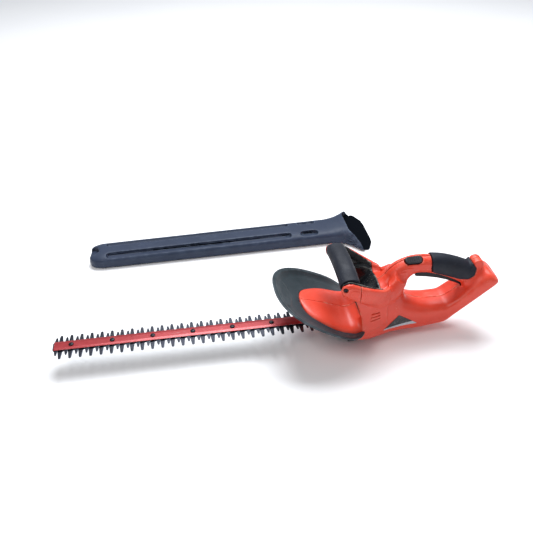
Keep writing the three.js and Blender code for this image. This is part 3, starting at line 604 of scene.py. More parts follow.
moulded("orange_shell", (0.76, 0.052, 0.020), (0.66, 0.040, 0.015), 0.38, wear_and_sheen=(0.80, 0.26, 0.18))
# The pale film on this slate plastic is partly real dust and, on the guard's rim, partly a painted sky
# reflection.
moulded("slate_shell", (0.016, 0.026, 0.032), (0.026, 0.038, 0.046), 0.46, wear_and_sheen=(0.12, 0.15, 0.17),
        dust_and_sheen=(0.050, 0.068, 0.078), specular=0.3)
moulded("black_shell", (0.006, 0.007, 0.010), (0.011, 0.012, 0.016), 0.42, wear_and_sheen=(0.06, 0.06, 0.07),
        specular=0.25)
# The cover gets painted shade on the floor inside its mouth and, together with dirt, in its grooves.
moulded("cover_shell", (0.020, 0.030, 0.056), (0.027, 0.038, 0.070), 0.46, grain=0.00006,
        wear_and_sheen=(0.10, 0.13, 0.19), dust_and_sheen=(0.040, 0.054, 0.084), specular=0.22,
        painted_floor_shade=(0.004, 0.005, 0.007), hollow_dirt_and_shade=0.9)
# The liner's pale edge and scuff colour is a painted sheen on the glossy dark plastic.
moulded("liner_shell", (0.004, 0.005, 0.007), (0.009, 0.011, 0.014), 0.22, grain=0.00002,
        wear_and_sheen=(0.34, 0.34, 0.30), dust_and_sheen=(0.020, 0.025, 0.028), specular=0.35)
moulded("wire_red", (0.35, 0.012, 0.012), (0.28, 0.010, 0.010), 0.5)
dotted("soft_grip", (0.005, 0.007, 0.014), (0.009, 0.012, 0.022))
metal("blade_steel", (0.028, 0.031, 0.042), (0.052, 0.056, 0.068), 0.30, spots=(0.04, 0.03, 0.02))
metal("bolt_steel", (0.016, 0.017, 0.021), (0.030, 0.031, 0.036), 0.40, stretch=(500, 500, 500))
metal("zinc", (0.50, 0.51, 0.53), (0.40, 0.41, 0.43), 0.32, stretch=(300, 300, 300))
metal("brass_plain", (0.72, 0.50, 0.20), (0.60, 0.40, 0.16), 0.30, stretch=(300, 300, 300))
painted("bar_paint", (0.30, 0.016, 0.020), (0.24, 0.012, 0.015), (0.26, 0.24, 0.24))
printed("label_film", (0.012, 0.012, 0.014), (0.42, 0.44, 0.48), 0.0345)

CAD_LOOKS = {
    "zinc": ["drive_gear", "gear_axle", "upper_gear_plate", "lower_gear_plate", "motor_can",
             "motor_shaft", "trigger_spring", "lock_off_spring"],
    "bolt_steel": ["upper_eccentric", "lower_eccentric"],
    "brass_plain": ["motor_pinion", "positive_terminal", "negative_terminal"],
    "black_shell": ["motor_end_cap", "power_switch", "terminal_block", "motor_lead"],
    "wire_red": ["battery_lead"],
}
for look, names in CAD_LOOKS.items():
    for name in names:
        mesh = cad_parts[name].data
        mesh.materials.clear()
        mesh.materials.append(materials[look])

# ---- Housing
SEAT_AT = (738.0, -22.0)
SEAT_ANGLE = math.radians(40.8)


def seat_z(x):
    return SEAT_AT[1] + (x - SEAT_AT[0]) * math.tan(SEAT_ANGLE)


# Cross-sections of the body, nose to rear end: X, half width, bottom, widest height, top, power.
BODY = [
    (456.5, 9, 46, 50, 55.2, 2),
    (460, 24, 41, 47.5, 54.5, 2),
    (466, 36, 35, 43.5, 53, 2.1),
    (478, 46.5, 26, 37.5, 49, 2.2),
    (502, 58.5, 10, 25.5, 41, 2.4),
    (517, 63, -1, 18, 35, 2.4),
    (532, 65, -12, 11, 29, 2.4),
    (547, 64.5, -22, 6, 25, 2.5),
    (560, 62, -29, 3, 29, 2.6),
    (572, 58, -34, 3, 41, 2.8),
    (589, 52.5, -36.5, 4, 62.5, 3.1),
    (606, 46.5, -36, 4, 83, 3.2),
    (618, 44, -35, 4, 86, 3),
    (632, 41, -34, 3, 74, 2.8),
    (650, 38, -33, 2, 52, 2.8),
    (672, 36, -32, 0, 37, 3),
    (692, 35.5, -30, 0, 29, 3.4),
    (713, 35, -26.5, 2, 25.5, 3.6),
    (738, 34.5, seat_z(738), 4, 25, 4),
    (760, 34.2, seat_z(760), 17, 36, 5),
    (782, 34, seat_z(782), 31, 57, 4.8),
    (808, 34, seat_z(808), 49, 83, 4),
    (822, 34, seat_z(822), 60, 88, 3.6),
    (832, 33.5, seat_z(832), 67, 82, 3.6),
    (839, 31, 65.5, 70, 75.5, 3),
]
# The handle loop: X, Z, half height, half width, Y.
LOOP = [
    (628, 30, 30, 33, 0),
    (634, 64, 27, 27, 0),
    (648, 94, 23, 20, 0),
    (671, 109, 19, 17, 0),
    (696, 110, 18.5, 16.5, 0),
    (724, 104.5, 21, 16, 0),
    (752, 94, 22, 16.5, 0),
    (779, 80, 23, 18, 0),
    (803, 64, 27, 24, 0),
]
KNOB = (801, 99, 12, 13)  # X, Z, radius, half width
# One front handle arm: X, Z, half height, half thickness, distance from the middle plane.
ARM = [
    (519.5, 118, 5, 3.5, 65),
    (523, 117.5, 10.5, 6.5, 65),
    (531, 115, 16, 8.6, 65),
    (546, 108, 17, 9, 65.5),
    (563, 98, 17.5, 9, 63),
    (584, 85.5, 18, 9, 55),
    (606, 73, 20, 9.5, 44),
    (627.6, 72, 19, 10, 31),
    (646, 90, 15, 10, 20),
]
# The cheek below an arm, beside the hand: X, middle Z, half height, half thickness, and
# distance from the middle plane.
CHEEK = [(550, 45, 40, 4.5, 54), (572, 46, 38, 5, 50), (590, 46, 38, 5, 45), (612, 44, 30, 3, 38)]
CHEEK_TOP = 84
CHEEK_LEAN = 0.3  # how far the cheek's front edge slants back for each millimetre down
LINER_DEEP = 1.8  # the liner is let into the wall and stands off it by this much
BODY_BLEND = 9.0
WEB_BLEND = 13.0
ARM_BLEND = 6.0
HANDLE_SPLIT_X = 554.5
SEAT_HALF = 26
RAIL_HALF = 30
SEAT_DEPTH = 9
SEAT_FROM = 14
SEAT_TO = 122
TRIGGER_EDGE = [(680, 84.5), (703, 80.5), (725, 75), (743, 68.5), (761, 60), (776, 52)]
TRIGGER_HALF = 6.5
TRIGGER_DEEP = 15
BUTTON_AT = (672, -7.2, 125.4)
BUTTON_LONG = 33
BUTTON_WIDE = 15
BUTTON_TILT = 0.42
VENTS = 3
VENT_AT = (593, 27)
VENT_PITCH = 7
VENT_RADIUS = 0.9
VENT_DEEP = 1.4
LINER_FROM = 518
LINER_TO = 606
LINER_FOOT = ((548, 570), (95, 20))  # the liner's lowest edge: X, then Z
SCREWS = [(529, 14.5), (656, -16), (716, -6), (652, 99), (737, 108), (785.4, 84.6)]
SCREW_HEAD = 3.6
GRIP_OUTLINE = [(700, 136), (709, 132), (708.5, 108), (711, 98), (719, 93), (766, 76), (782, 76.5),
                (792, 83), (796, 94), (790, 103), (782, 110), (778, 132)]


def body_field(grid, steady=True):
    half, low, middle, high, power = eased(BODY, grid.x)
    rise = grid.z - middle
    tall = np.where(rise > 0, high - middle, middle - low)
    section = rounded_section(grid.y, rise, half, tall, power)
    ends = np.maximum(BODY[0][0] - grid.x, grid.x - BODY[-1][0])
    field = common(section, ends, 2.0)
    return evened(field, grid.step) if steady else field


def handled_body(grid):
    """The body with its handle loop and the knob at the loop's rear."""
    knob_x, knob_z, radius, half = KNOB
    knob = common(cross_pin(grid, knob_x, knob_z, radius), np.abs(grid.y) - half, 4.0)
    return join(body_field(grid), join(swept(grid, LOOP, 2.3), knob, 7.0), BODY_BLEND)


def arm_field(grid, side=1):
    return swept(grid, ARM, 2.4, side)


def both_arms(grid):
    return join(arm_field(grid, -1), arm_field(grid))


def cheek_field(grid, side=1):
    """The upright web between an arm and the body."""
    middle, tall, thick, y = eased(CHEEK, grid.x)
    across = np.abs(grid.y * side - y) - thick
    rise = np.abs(grid.z - middle) - tall
    front = CHEEK[0][0] + CHEEK_LEAN * (CHEEK_TOP - grid.z)
    ends = np.maximum(front - grid.x, grid.x - CHEEK[-1][0])
    return common(np.maximum(across, ends), rise, 3.0)


def seat_block(grid, start, stop, half, low, high):
    """A box on the battery seat's slope: along it, half width, and off it."""
    dx, dz = grid.x - SEAT_AT[0], grid.z - SEAT_AT[1]
    along = dx * math.cos(SEAT_ANGLE) + dz * math.sin(SEAT_ANGLE)
    off = -dx * math.sin(SEAT_ANGLE) + dz * math.cos(SEAT_ANGLE)
    slab = np.maximum(np.maximum(start - along, along - stop), np.maximum(low - off, off - high))
    return np.maximum(slab, np.abs(grid.y) - half)


def trigger_outline(low, high, ends):
    edge = [(TRIGGER_EDGE[0][0] - ends, TRIGGER_EDGE[0][1]), *TRIGGER_EDGE[1:-1],
            (TRIGGER_EDGE[-1][0] + ends, TRIGGER_EDGE[-1][1] - ends * 0.5)]
    return [(x, z + low) for x, z in edge] + [(x, z + high) for x, z in reversed(edge)]


def button_ring(grid, side=1):
    """Along the button from its middle, up out of it, and distance to its stadium-shaped rim."""
    x, y, z = BUTTON_AT
    dx, dy, dz = grid.x - x, grid.y * side - y, grid.z - z
    across = dy * math.cos(BUTTON_TILT) + dz * math.sin(BUTTON_TILT)
    up = -dy * math.sin(BUTTON_TILT) + dz * math.cos(BUTTON_TILT)
    run = (BUTTON_LONG - BUTTON_WIDE) / 2
    return dx, up, np.hypot(np.maximum(np.abs(dx) - run, 0), across) - BUTTON_WIDE / 2


def button_hole(grid, side):
    """The button's hole, square to the handle's left shoulder."""
    _, up, ring = button_ring(grid, side)
    return np.maximum(ring - 0.5, np.maximum(-12 - up, up - 10))


housing_grid = Grid((452, -2.5, -42), (846, 76, 136), 1.25)
tool_body = handled_body(housing_grid)
tool_arms = arm_field(housing_grid)
webbed_body = join(tool_body, cheek_field(housing_grid), WEB_BLEND)


def half_housing(side):
    """One clamshell, made on the right and mirrored for the left."""
    g = housing_grid
    behind = common(tool_arms, HANDLE_SPLIT_X - g.x, 0.1)
    ahead = np.maximum(tool_arms - 0.3, g.x - HANDLE_SPLIT_X)
    outer = cut(join(webbed_body, behind, ARM_BLEND), ahead)
    shell = cut(outer, tool_body + WALL)
    for x, z in SCREWS:
        shell = join(shell, common(cross_pin(g, x, z, 5.5), tool_body + 0.4))
    shell = cut(shell, liner_space(g, join(webbed_body, tool_arms, ARM_BLEND), 0.25))
    grip = common(outline(g, GRIP_OUTLINE, 2.0), -(tool_body + 1.2))
    shell = cut(shell, grip, 0.6)
    slot = outline(g, trigger_outline(-2, TRIGGER_DEEP + 8, 2.4))
    shell = cut(shell, np.maximum(slot, g.y - TRIGGER_HALF - 1), 1.2)
    shell = cut(shell, button_hole(g, side), 0.8)
    # Openings for the blades at the nose and for the gears underneath.
    shell = cut(shell, block(g, (490, -29, -5.5), (560, 29, 8), 0.5))
    shell = cut(shell, block(g, (538, -22, -45), (578, 22, -12), 0.5))
    channel = np.minimum(seat_block(g, SEAT_FROM, SEAT_TO, SEAT_HALF, -12, SEAT_DEPTH),
                         seat_block(g, SEAT_FROM, SEAT_TO, RAIL_HALF, 3, SEAT_DEPTH))
    floor = seat_block(g, SEAT_FROM - WALL, SEAT_TO + WALL, RAIL_HALF + WALL, -12, SEAT_DEPTH + WALL)
    shell = join(shell, common(floor, tool_body))
    shell = cut(shell, channel, 0.5)
    for i in range(VENTS):
        along = np.maximum(np.abs(g.x - VENT_AT[0]) - (10 - i), 0)
        lip = np.hypot(along, g.z - VENT_AT[1] - VENT_PITCH * i) - VENT_RADIUS
        shell = cut(shell, np.maximum(lip, -VENT_DEEP - tool_body), 0.6)
    if side > 0:
        for number, (x, z) in enumerate(SCREWS, start=1):
            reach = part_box(f"housing_screw_{number}")[1].y / MM - 2.8
            bore = cross_pin(g, x, z, SCREW_HEAD + 0.5)
            shell = cut(shell, np.maximum(bore, reach - g.y), 0.5)
    shell = common(shell, SEAM - g.y, 0.5)
    points, faces = skin(shell, g)
    if side < 0:
        points = points * (1, -1, 1)
        faces = faces[:, ::-1]
    name = "right_housing" if side > 0 else "left_housing"
    piece(name, points, faces, "orange_shell")


def liner_space(g, outer, grow):
    """Where the dark liner is: a skin on everything that faces the front hand."""
    at, middle, tall, _, side = np.array(ARM, float).T
    inner = np.interp(g.x, at, side) - 0.5
    web = np.interp(g.x, [row[0] for row in CHEEK], [row[4] for row in CHEEK])
    below_arm = np.interp(g.x, at, middle) - np.interp(g.x, at, tall) - g.z
    inner = np.where(below_arm > -6, np.minimum(inner, web), inner)
    space = np.maximum(np.maximum(LINER_FROM - g.x, g.x - LINER_TO), np.abs(g.y) - inner)
    lowest = np.interp(g.x, *LINER_FOOT)
    space = np.maximum(space, lowest - g.z)
    return np.maximum(np.abs(outer) - LINER_DEEP, space) - grow


def hand_surround(g):
    """The body, cheeks and arms round the front hand, on both sides."""
    webs = np.minimum(cheek_field(g), cheek_field(g, -1))
    return join(join(handled_body(g), webs, WEB_BLEND), both_arms(g), ARM_BLEND)


half_housing(-1)
half_housing(1)

# ---- Soft grip on the rear handle


def rear_grip():
    g = Grid((700, -24, 68), (802, 24, 134), 1.1)
    loop = handled_body(g)
    shape = common(loop - 1.5, -(loop + 0.9), 0.4)
    shape = common(shape, outline(g, GRIP_OUTLINE, 1.7), 1.6)
    slot = outline(g, trigger_outline(-2, TRIGGER_DEEP + 12, 4))
    shape = cut(shape, np.maximum(slot, np.abs(g.y) - TRIGGER_HALF - 1))
    skinned("rear_grip", shape, g, "soft_grip")


rear_grip()

# ---- Front handle
GRIP_END = 54.6
ARM_Y = 65
ARM_SCREW = (526.5, 119)
BAR_AT = (538, 123)  # the bar's middle, which stands a little behind and above its ends
BAR_CROWN = (1, 4)
# Half sizes along X and Z.
BAR_CORE = (9, 8)
BAR_NECK = (6, 5)
GRIP_HALF = (18.6, 14.8)


def bar_field(g, half, grow=0):
    """The crowned bar between the arms."""
    sag = (g.y / ARM_Y) ** 2
    dx = g.x - BAR_AT[0] + BAR_CROWN[0] * sag
    dz = g.z - BAR_AT[1] + BAR_CROWN[1] * sag
    return evened(rounded_section(dx, dz, half[0] + grow, half[1] + grow, 2.3), g.step)


def front_handle():
    """Two arms and the bar's core, which is thinner where it goes through the liner."""
    g = Grid((508, -78, 66), (560, 78, 142), 1.15)
    arms = both_arms(g)
    core = np.maximum(bar_field(g, BAR_CORE), np.abs(g.y) - GRIP_END)
    bar = join(core, bar_field(g, BAR_NECK))
    side_skin = cut(arms, liner_space(g, arms, 0.25))
    shape = join(side_skin, np.maximum(bar, np.abs(g.y) - ARM_Y))
    shape = common(shape, g.x - HANDLE_SPLIT_X + 0.1, 0.1)
    screw = cross_pin(g, *ARM_SCREW, SCREW_HEAD + 0.4)
    shape = cut(shape, np.maximum(screw, 66.5 - np.abs(g.y)), 0.7)
    skinned("front_handle", shape, g, "orange_shell")


def front_grip():
    g = Grid((512, -64, 100), (562, 64, 143), 1.1)
    grip = bar_field(g, GRIP_HALF)
    # The sleeve's ends butt against the arms' lined inner sides.
    grip = common(grip, np.abs(g.y) - GRIP_END - 6, 1.0)
    grip = cut(grip, both_arms(g) - LINER_DEEP - GAP, 0.8)
    grip = cut(grip, bar_field(g, BAR_CORE, 0.4))
    skinned("front_grip", grip, g, "soft_grip")


def hand_space_liner():
    g = Grid((510, -74, 18), (614, 74, 142), 1.3)
    shape = liner_space(g, hand_surround(g), 0.0)
    shape = cut(shape, bar_field(g, BAR_NECK, 0.5))
    shape = common(shape, LINER_FROM + 3 - g.x, 1.0)
    skinned("hand_space_liner", shape, g, "liner_shell")


front_handle()
front_grip()
hand_space_liner()

# ---- Hand guard
RIM_FRONT = (407, 91.2)
RIM_ANGLE = math.radians(26.6)
RIM_HALF = 100
RIM_LEAD = 120
RIM_TRAIL = 76
RIM_POWER = 2.4
# Across the guard from its middle out: share of the rim's size, top face, underside.
DISH = [
    (0.30, -15, -18.5),
    (0.60, -13.5, -17),
    (0.80, -9, -12.5),
    (0.90, -4.2, -8.2),
    (0.96, -1.6, -5.4),
    (1.00, -1.2, -4.2),
    (1.10, -1.2, -4.2),
]


def rim_to_tool(down, off):
    """X and Z in the tool's frame, from down the rim's slope and off its plane."""
    x = RIM_FRONT[0] + down * math.cos(RIM_ANGLE) + off * math.sin(RIM_ANGLE)
    z = RIM_FRONT[1] - down * math.sin(RIM_ANGLE) + off * math.cos(RIM_ANGLE)
    return x, z


def hand_guard():
    g = Grid((-4, -104, -24), (202, 104, 4), 1.25)
    lead = np.where(g.x < RIM_LEAD, RIM_LEAD, RIM_TRAIL)
    ratio = np.abs((g.x - RIM_LEAD) / lead) ** RIM_POWER + np.abs(g.y / RIM_HALF) ** RIM_POWER
    share = ratio ** (1 / RIM_POWER)
    top, under = eased(DISH, share)
    # A low ridge runs round inside the rim, with a shallow trough beyond it.
    top = top + 0.9 * np.exp(-(((share - 0.93) / 0.02) ** 2))
    top = top - 0.8 * np.exp(-(((share - 0.85) / 0.04) ** 2))
    # A shallow oval pad stands at the front of the dish.
    oval = np.hypot((g.x - 27) / 15, g.y / 37)
    top = top + 1.5 / (1 + np.exp((oval - 1) / 0.04))
    sheet = np.maximum(g.z - top, under - g.z)
    edge = (share - 1) * RIM_HALF
    shape = evened(common(sheet, edge, 2.4), g.step)
    x, z = rim_to_tool(g.x, g.z)
    shape = cut(shape, body_field(SimpleNamespace(x=x, y=g.y, z=z), False) - 0.5)
    points, faces = skin(shape, g, 3)
    down, across, off = points.T
    x, z = rim_to_tool(down, off)
    points = np.stack([x, across, z], axis=1)
    piece("hand_guard", points, faces, "slate_shell")


hand_guard()

# ---- Bottom cover and foot
TRAY = [
    (520, 34, -8, 2),
    (530, 38, -20, 2),
    (542, 36, -31, 0),
    (556, 33, -39, -5),
    (572, 29, -42, -15),
    (584, 22, -41, -25),
]


def bottom_cover():
    g = Grid((516, -42, -48), (590, 42, 6), 1.1)
    half, low, high = eased(TRAY, g.x)
    tray = rounded_section(g.y, g.z - (low + high) / 2, half, (high - low) / 2, 3)
    tray = common(tray, np.maximum(520 - g.x, g.x - 584), 3.0)
    tray = np.maximum(tray, g.z + 9)
    foot = block(g, (549, -26, -46), (571, 26, -34), 3.0)
    shape = cut(join(tray, foot, 3.0), body_field(g) - 0.4)
    skinned("bottom_cover", shape, g, "slate_shell")


bottom_cover()

# ---- Small turned and cut pieces


def belts(rings, count, closed=False):
    """The faces between each ring of points and the next, points numbered ring by ring."""
    faces = []
    for a in range(rings if closed else rings - 1):
        b = (a + 1) % rings
        for j in range(count):
            k = (j + 1) % count
            faces.append([a * count + j, a * count + k, b * count + k, b * count + j])
    return faces


def solid_from_rings(name, rings, look):
    """A piece through rings of points, the first and last closed to their middles."""
    count = len(rings[0])
    points = np.concatenate([*rings, [np.mean(rings[0], axis=0)], [np.mean(rings[-1], axis=0)]])
    first, last = len(points) - 2, len(points) - 1
    tail = (len(rings) - 1) * count
    faces = belts(len(rings), count)
    for j in range(count):
        k = (j + 1) % count
        faces.append([first, k, j])
        faces.append([last, tail + j, tail + k])
    return faceted(name, points, faces, look, 38)


def around(count):
    return 2 * math.pi * np.arange(count) / count


def circle(radius, count):
    return np.stack([radius * np.cos(around(count)), radius * np.sin(around(count))], axis=1)


def star(outer, inner, count):
    """A six-lobed recess."""
    radius = inner + (outer - inner) * (0.5 + 0.5 * np.cos(6 * around(count)))
    return circle(1, count) * radius[:, None]


def screw(name, x, z, side, long):
    """A pan-head screw along Y with a six-lobed recess, its head on the given side of the tool."""
    low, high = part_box(name)
    face = (high.y if side > 0 else low.y) / MM
    count = 36
    profile = [
        (circle(1.6, count), long or (high.y - low.y) / MM),
        (circle(1.6, count), 2.5),
        (circle(SCREW_HEAD, count), 2.5),
        (circle(SCREW_HEAD, count), 0.9),
        (circle(SCREW_HEAD * 0.93, count), 0.35),
        (circle(SCREW_HEAD * 0.75, count), 0.0),
        (star(1.9, 1.35, count), 0.0),
        (star(1.8, 1.3, count), 1.5),
        (circle(0.4, count), 1.8),
    ]
    rings = [
        np.stack([x + flat[:, 0], np.full(count, face - side * deep), z + flat[:, 1]], axis=1)
        for flat, deep in profile
    ]
    return solid_from_rings(name, rings, "zinc")


for i, (x, z) in enumerate(SCREWS, start=1):
    screw(f"housing_screw_{i}", x, z, 1, None)
for name, side in (("left", -1), ("right", 1)):
    made = screw(f"{name}_handle_screw", *ARM_SCREW, side, 3.9)
    made.data.materials[0] = materials["bolt_steel"]

BOLT_FIRST = 20.4
BOLT_PITCH = 76.2
BOLTS = 7


def bolt_x(i):
    return BOLT_FIRST + (i - 1) * BOLT_PITCH


def blade_bolt(i):
    """A low domed bolt head above the bar, its shank, and the hexagonal nut underneath."""
    base, top = heights(f"blade_bolt_{i}")
    head = top - 2.4
    count = 32
    profile = [(2.5, base), (2.8, base + 0.4), (2.8, head), (4.7, head), (4.8, head + 0.25)]
    for turn in np.radians((15, 32, 50, 68, 82)):
        profile.append((4.8 * math.cos(turn) ** 0.8, head + 0.25 + 2.15 * math.sin(turn)))
    rings = [
        np.column_stack([circle(radius, count) + (bolt_x(i), 0), np.full(count, z)])
        for radius, z in profile
    ]
    solid_from_rings(f"blade_bolt_{i}", rings, "bolt_steel")


def blade_nut(i):
    """A hexagonal nut with chamfered corners round the bolt's shank."""
    base, top = heights(f"blade_nut_{i}")
    count = 48
    hexagon = 4.33 / np.cos((around(count) + math.pi / 6) % (math.pi / 3) - math.pi / 6)
    chamfered = np.minimum(hexagon, 4.45)
    bore = np.full(count, 3.1)
    profile = [
        (bore, top), (chamfered, top), (hexagon, top - 0.35),
        (hexagon, base + 0.35), (chamfered, base), (bore, base),
    ]
    points = np.concatenate([
        np.column_stack([circle(1, count) * radius[:, None] + (bolt_x(i), 0), np.full(count, z)])
        for radius, z in profile
    ])
    faces = belts(len(profile), count, closed=True)
    faceted(f"blade_nut_{i}", points, faces, "bolt_steel", 30)


for i in range(1, BOLTS + 1):
    blade_bolt(i)
    blade_nut(i)

# ---- Plates: blades and other flat pieces


def blade(name, body, outlines, low, high, bevel):
    """A flat blade with holes, its edges broken by a small bevel. outlines[0] is the outside."""
    curve = bpy.data.curves.new(name, "CURVE")
    curve.dimensions = "2D"
    curve.fill_mode = "BOTH"
    curve.extrude = ((high - low) / 2 - bevel) * MM
    curve.bevel_depth = bevel * MM
    curve.bevel_resolution = 1
    curve.offset = -bevel * MM
    for points in outlines:
        line = curve.splines.new("POLY")
        line.points.add(len(points) - 1)
        for spot, (x, y) in zip(line.points, points):
            spot.co = ((x + TOOL_AT[0]) * MM, y * MM, 0, 1)
        line.use_cyclic_u = True
    draft = bpy.data.objects.new(name + "_draft", curve)
    bpy.context.scene.collection.objects.link(draft)
    bpy.context.view_layer.update()
    mesh = bpy.data.meshes.new_from_object(draft.evaluated_get(bpy.context.evaluated_depsgraph_get()))
    bpy.data.objects.remove(draft)
    bpy.data.curves.remove(curve)
    mesh.name = name
    mesh.transform(Matrix.Translation((0, 0, ((low + high) / 2 + TOOL_AT[2]) * MM)))
    shape = bmesh.new()
    shape.from_mesh(mesh)
    bmesh.ops.remove_doubles(shape, verts=shape.verts, dist=0.00001)
    shape.to_mesh(mesh)
    shape.free()
    sharpened(finished(name, mesh, "blade_steel", body), 30)


PITCH = 19.05
TEETH = 26
SPINE = 11.5
TAIL_FROM = 500
TAIL_TO = 613
TAIL_HALF = 23.5
THROW = 6
GEAR_X = 585.5
CAM_RADIUS = 10.5


def arc(x, y, radius, start, stop, count):
    turns = np.radians(np.linspace(start, stop, count))
    return [(x + radius * math.cos(t), y + radius * math.sin(t)) for t in turns]


def tooth(base_half, tip_half, reach):
    """One tooth: flared root, straight flanks, round tip."""
    root = [(-base_half - 1.4, SPINE), (-base_half, SPINE + 1.2)]
    tip = arc(0, reach - tip_half, tip_half, 172, 8, 9)
    return root + tip + [(-x, y) for x, y in reversed(root)]


def blade_outlines(lead, base_half, tip_half, reach, tip_x, travel):
    edge = [(tip_x, SPINE - 3)]
    for i in range(TEETH):
        edge += [(i * PITCH - lead + x, y) for x, y in tooth(base_half, tip_half, reach)]
    edge += [(TAIL_FROM - 12, SPINE), (TAIL_FROM, TAIL_HALF), (TAIL_TO - 6, TAIL_HALF)]
    edge += [(TAIL_TO, TAIL_HALF - 6)]
    outlines = [[(x, -y) for x, y in edge] + edge[::-1]]
    for i in range(1, BOLTS + 1):
        x = bolt_x(i)
        ends = arc(x - travel[0], 0, 3.3, -90, 90, 9) + arc(x - travel[1], 0, 3.3, 90, 270, 9)
        outlines.append(ends[::-1])
    swept_out = THROW + CAM_RADIUS + 0.6
    start, stop = GEAR_X - swept_out - travel[1], GEAR_X + swept_out - travel[0]
    window = arc(stop - 8, 9, 8, 0, 90, 6) + arc(start + 8, 9, 8, 90, 180, 6)
    window += arc(start + 8, -9, 8, 180, 270, 6) + arc(stop - 8, -9, 8, 270, 360, 6)
    outlines.append(window[::-1])
    return outlines


SHORT_TRAVEL = (-2.2, 9.8)
LONG_TRAVEL = (-9.8, 2.2)
blade("long_tooth_blade", "long_blade", blade_outlines(0, 4.6, 2.6, 32.4, -11.5, LONG_TRAVEL),
      -2.0, 0.0, 0.55)
blade("short_tooth_blade", "short_blade", blade_outlines(7.6, 3.6, 1.8, 24.6, -14, SHORT_TRAVEL),
      0.2, 2.0, 0.5)


def support_bar():
    """The red bar: flat lips, raised crown down the middle, a hole for each bolt."""
    g = Grid((-14, -14, 0.6), (550, 14, 5.6), 0.8)
    under, top = heights("support_bar")
    rise = 1.0 / (1 + np.exp((np.abs(g.y) - 8.3) / 0.55)) - 1.0
    sheet = np.maximum(g.z - top - 0.75 * rise, under - g.z)
    shape = common(sheet, np.abs(g.y) - 12.3, 0.5)
    shape = common(shape, np.maximum(-12 - g.x, g.x - 548), 0.5)
    for i in range(1, BOLTS + 1):
        shape = cut(shape, np.hypot(g.x - bolt_x(i), g.y) - 3.2)
    skinned("support_bar", shape, g, "bar_paint")


support_bar()

# ---- Side plates
LABEL_CORNERS = [(613, -9), (644, 20), (683, -7)]


def skin_side(x, z):
    """Half width of the body at a side-view place."""
    half, low, middle, high, power = (float(v.ravel()[0]) for v in eased(BODY, np.array([x])))
    tall = high - middle if z > middle else middle - low
    share = min(abs((z - middle) / tall), 0.999)
    return half * (1 - share**power) ** (1 / power)


def side_plate(name, side):
    """A thin printed film, laid on the body's side over a fine triangular net."""
    count = 34
    a, b, c = (np.array(corner, float) for corner in LABEL_CORNERS)
    number, flat = {}, []
    for i in range(count + 1):
        for j in range(count + 1 - i):
            u, v = i / count, j / count
            number[i, j] = len(flat)
            flat.append(a + u * (b - a) + v * (c - a))
    faces = []
    for i in range(count):
        for j in range(count - i):
            faces.append((number[i, j], number[i + 1, j], number[i, j + 1]))
            if j < count - i - 1:
                faces.append((number[i + 1, j], number[i + 1, j + 1], number[i, j + 1]))
    points = [
        (x, side * (skin_side(x, z) + lift), z) for lift in (0.15, 0.75) for x, z in flat
    ]
    over = len(flat)
    sides = []
    for f in faces:
        sides.append([over + i for i in f])
        sides.append(f[::-1])
    rim = [number[i, 0] for i in range(count + 1)]
    rim += [number[count - k, k] for k in range(1, count + 1)]
    rim += [number[0, count - k] for k in range(1, count)]
    for i, j in zip(rim, rim[1:] + rim[:1]):
        sides.append((i, j, over + j, over + i))
    faceted(name, np.array(points), sides, "label_film", 50)


side_plate("left_label", -1)
side_plate("right_label", 1)

# ---- Trigger and lock-off button


def trigger():
    """The paddle, rounded where the fingers pull."""
    g = Grid((676, -9, 46), (780, 9, 104), 0.9)
    paddle = outline(g, trigger_outline(0, TRIGGER_DEEP, 0))
    shape = common(paddle, np.abs(g.y) - TRIGGER_HALF, 2.6)
    skinned("trigger", shape, g, "black_shell", "trigger")


def lock_off_button():
    """A stadium-shaped button with a shallow thumb dish and cross ribs."""
    x, y, z = BUTTON_AT
    g = Grid((x - 19, y - 12, z - 13), (x + 19, y + 14, z + 8), 0.7)
    dx, up, ring = button_ring(g)
    ribs = 0.3 * np.cos(2 * math.pi * dx / 4.0) * (np.abs(dx) < 11)
    crown = 1.2 - 0.5 * np.exp(-((dx / 9) ** 2)) + ribs - 0.25
    shape = common(ring, np.maximum(up - crown, -5 - up), 1.0)
    skinned("lock_off_button", shape, g, "black_shell", "lock_off", 1)


trigger()
lock_off_button()

# ---- Blade cover
COVER_AT = (31, 340)
COVER_TURN = math.radians(1.2)
COVER_LENGTH = 660
COVER_WALL = 2.2
# Distance from the closed end, half width at the roof, half width at the floor, height.
COVER = [
    (0, 14, 14, 20),
    (4, 23, 23, 23),
    (14, 32, 32, 26),
    (34, 36.5, 36.5, 28),
    (200, 37, 37, 29),
    (555, 37.5, 37.5, 31),
    (580, 39, 41, 34),
    (598, 44, 50, 38),
    (612, 52, 66, 40),
    (626, 60, 84, 41),
    (COVER_LENGTH, 66, 96, 41),
]
HANG_HOLE_AT = 19
# The grooves pressed into the roof: start, end, distance off the middle line.
GROOVES = [(48, 460, 23), (48, 460, -22), (500, 524, 23), (500, 524, -22)]
GROOVE_HALF = 10.5
GROOVE_DEEP = 7.0
HOLLOW_FROM = 36
# The mouth in side view, then in plan: the roof is cut back and the floor's corners are cut off.
MOUTH_SIDE = [
    (COVER_LENGTH + 20, 60), (COVER_LENGTH - 60, 60), (COVER_LENGTH - 57, 36), (COVER_LENGTH - 46, 30),
    (COVER_LENGTH - 36, 18), (COVER_LENGTH - 30, 5), (COVER_LENGTH - 26, 2.6), (COVER_LENGTH + 20, 2.6),
]
MOUTH_PLAN = [
    (-30, -120), (COVER_LENGTH - 34, -120), (COVER_LENGTH - 34, -88), (COVER_LENGTH - 14, -74),
    (COVER_LENGTH - 2, -48), (COVER_LENGTH, -30), (COVER_LENGTH, 30), (COVER_LENGTH - 2, 48),
    (COVER_LENGTH - 14, 74), (COVER_LENGTH - 34, 88), (COVER_LENGTH - 34, 120), (-30, 120),
]


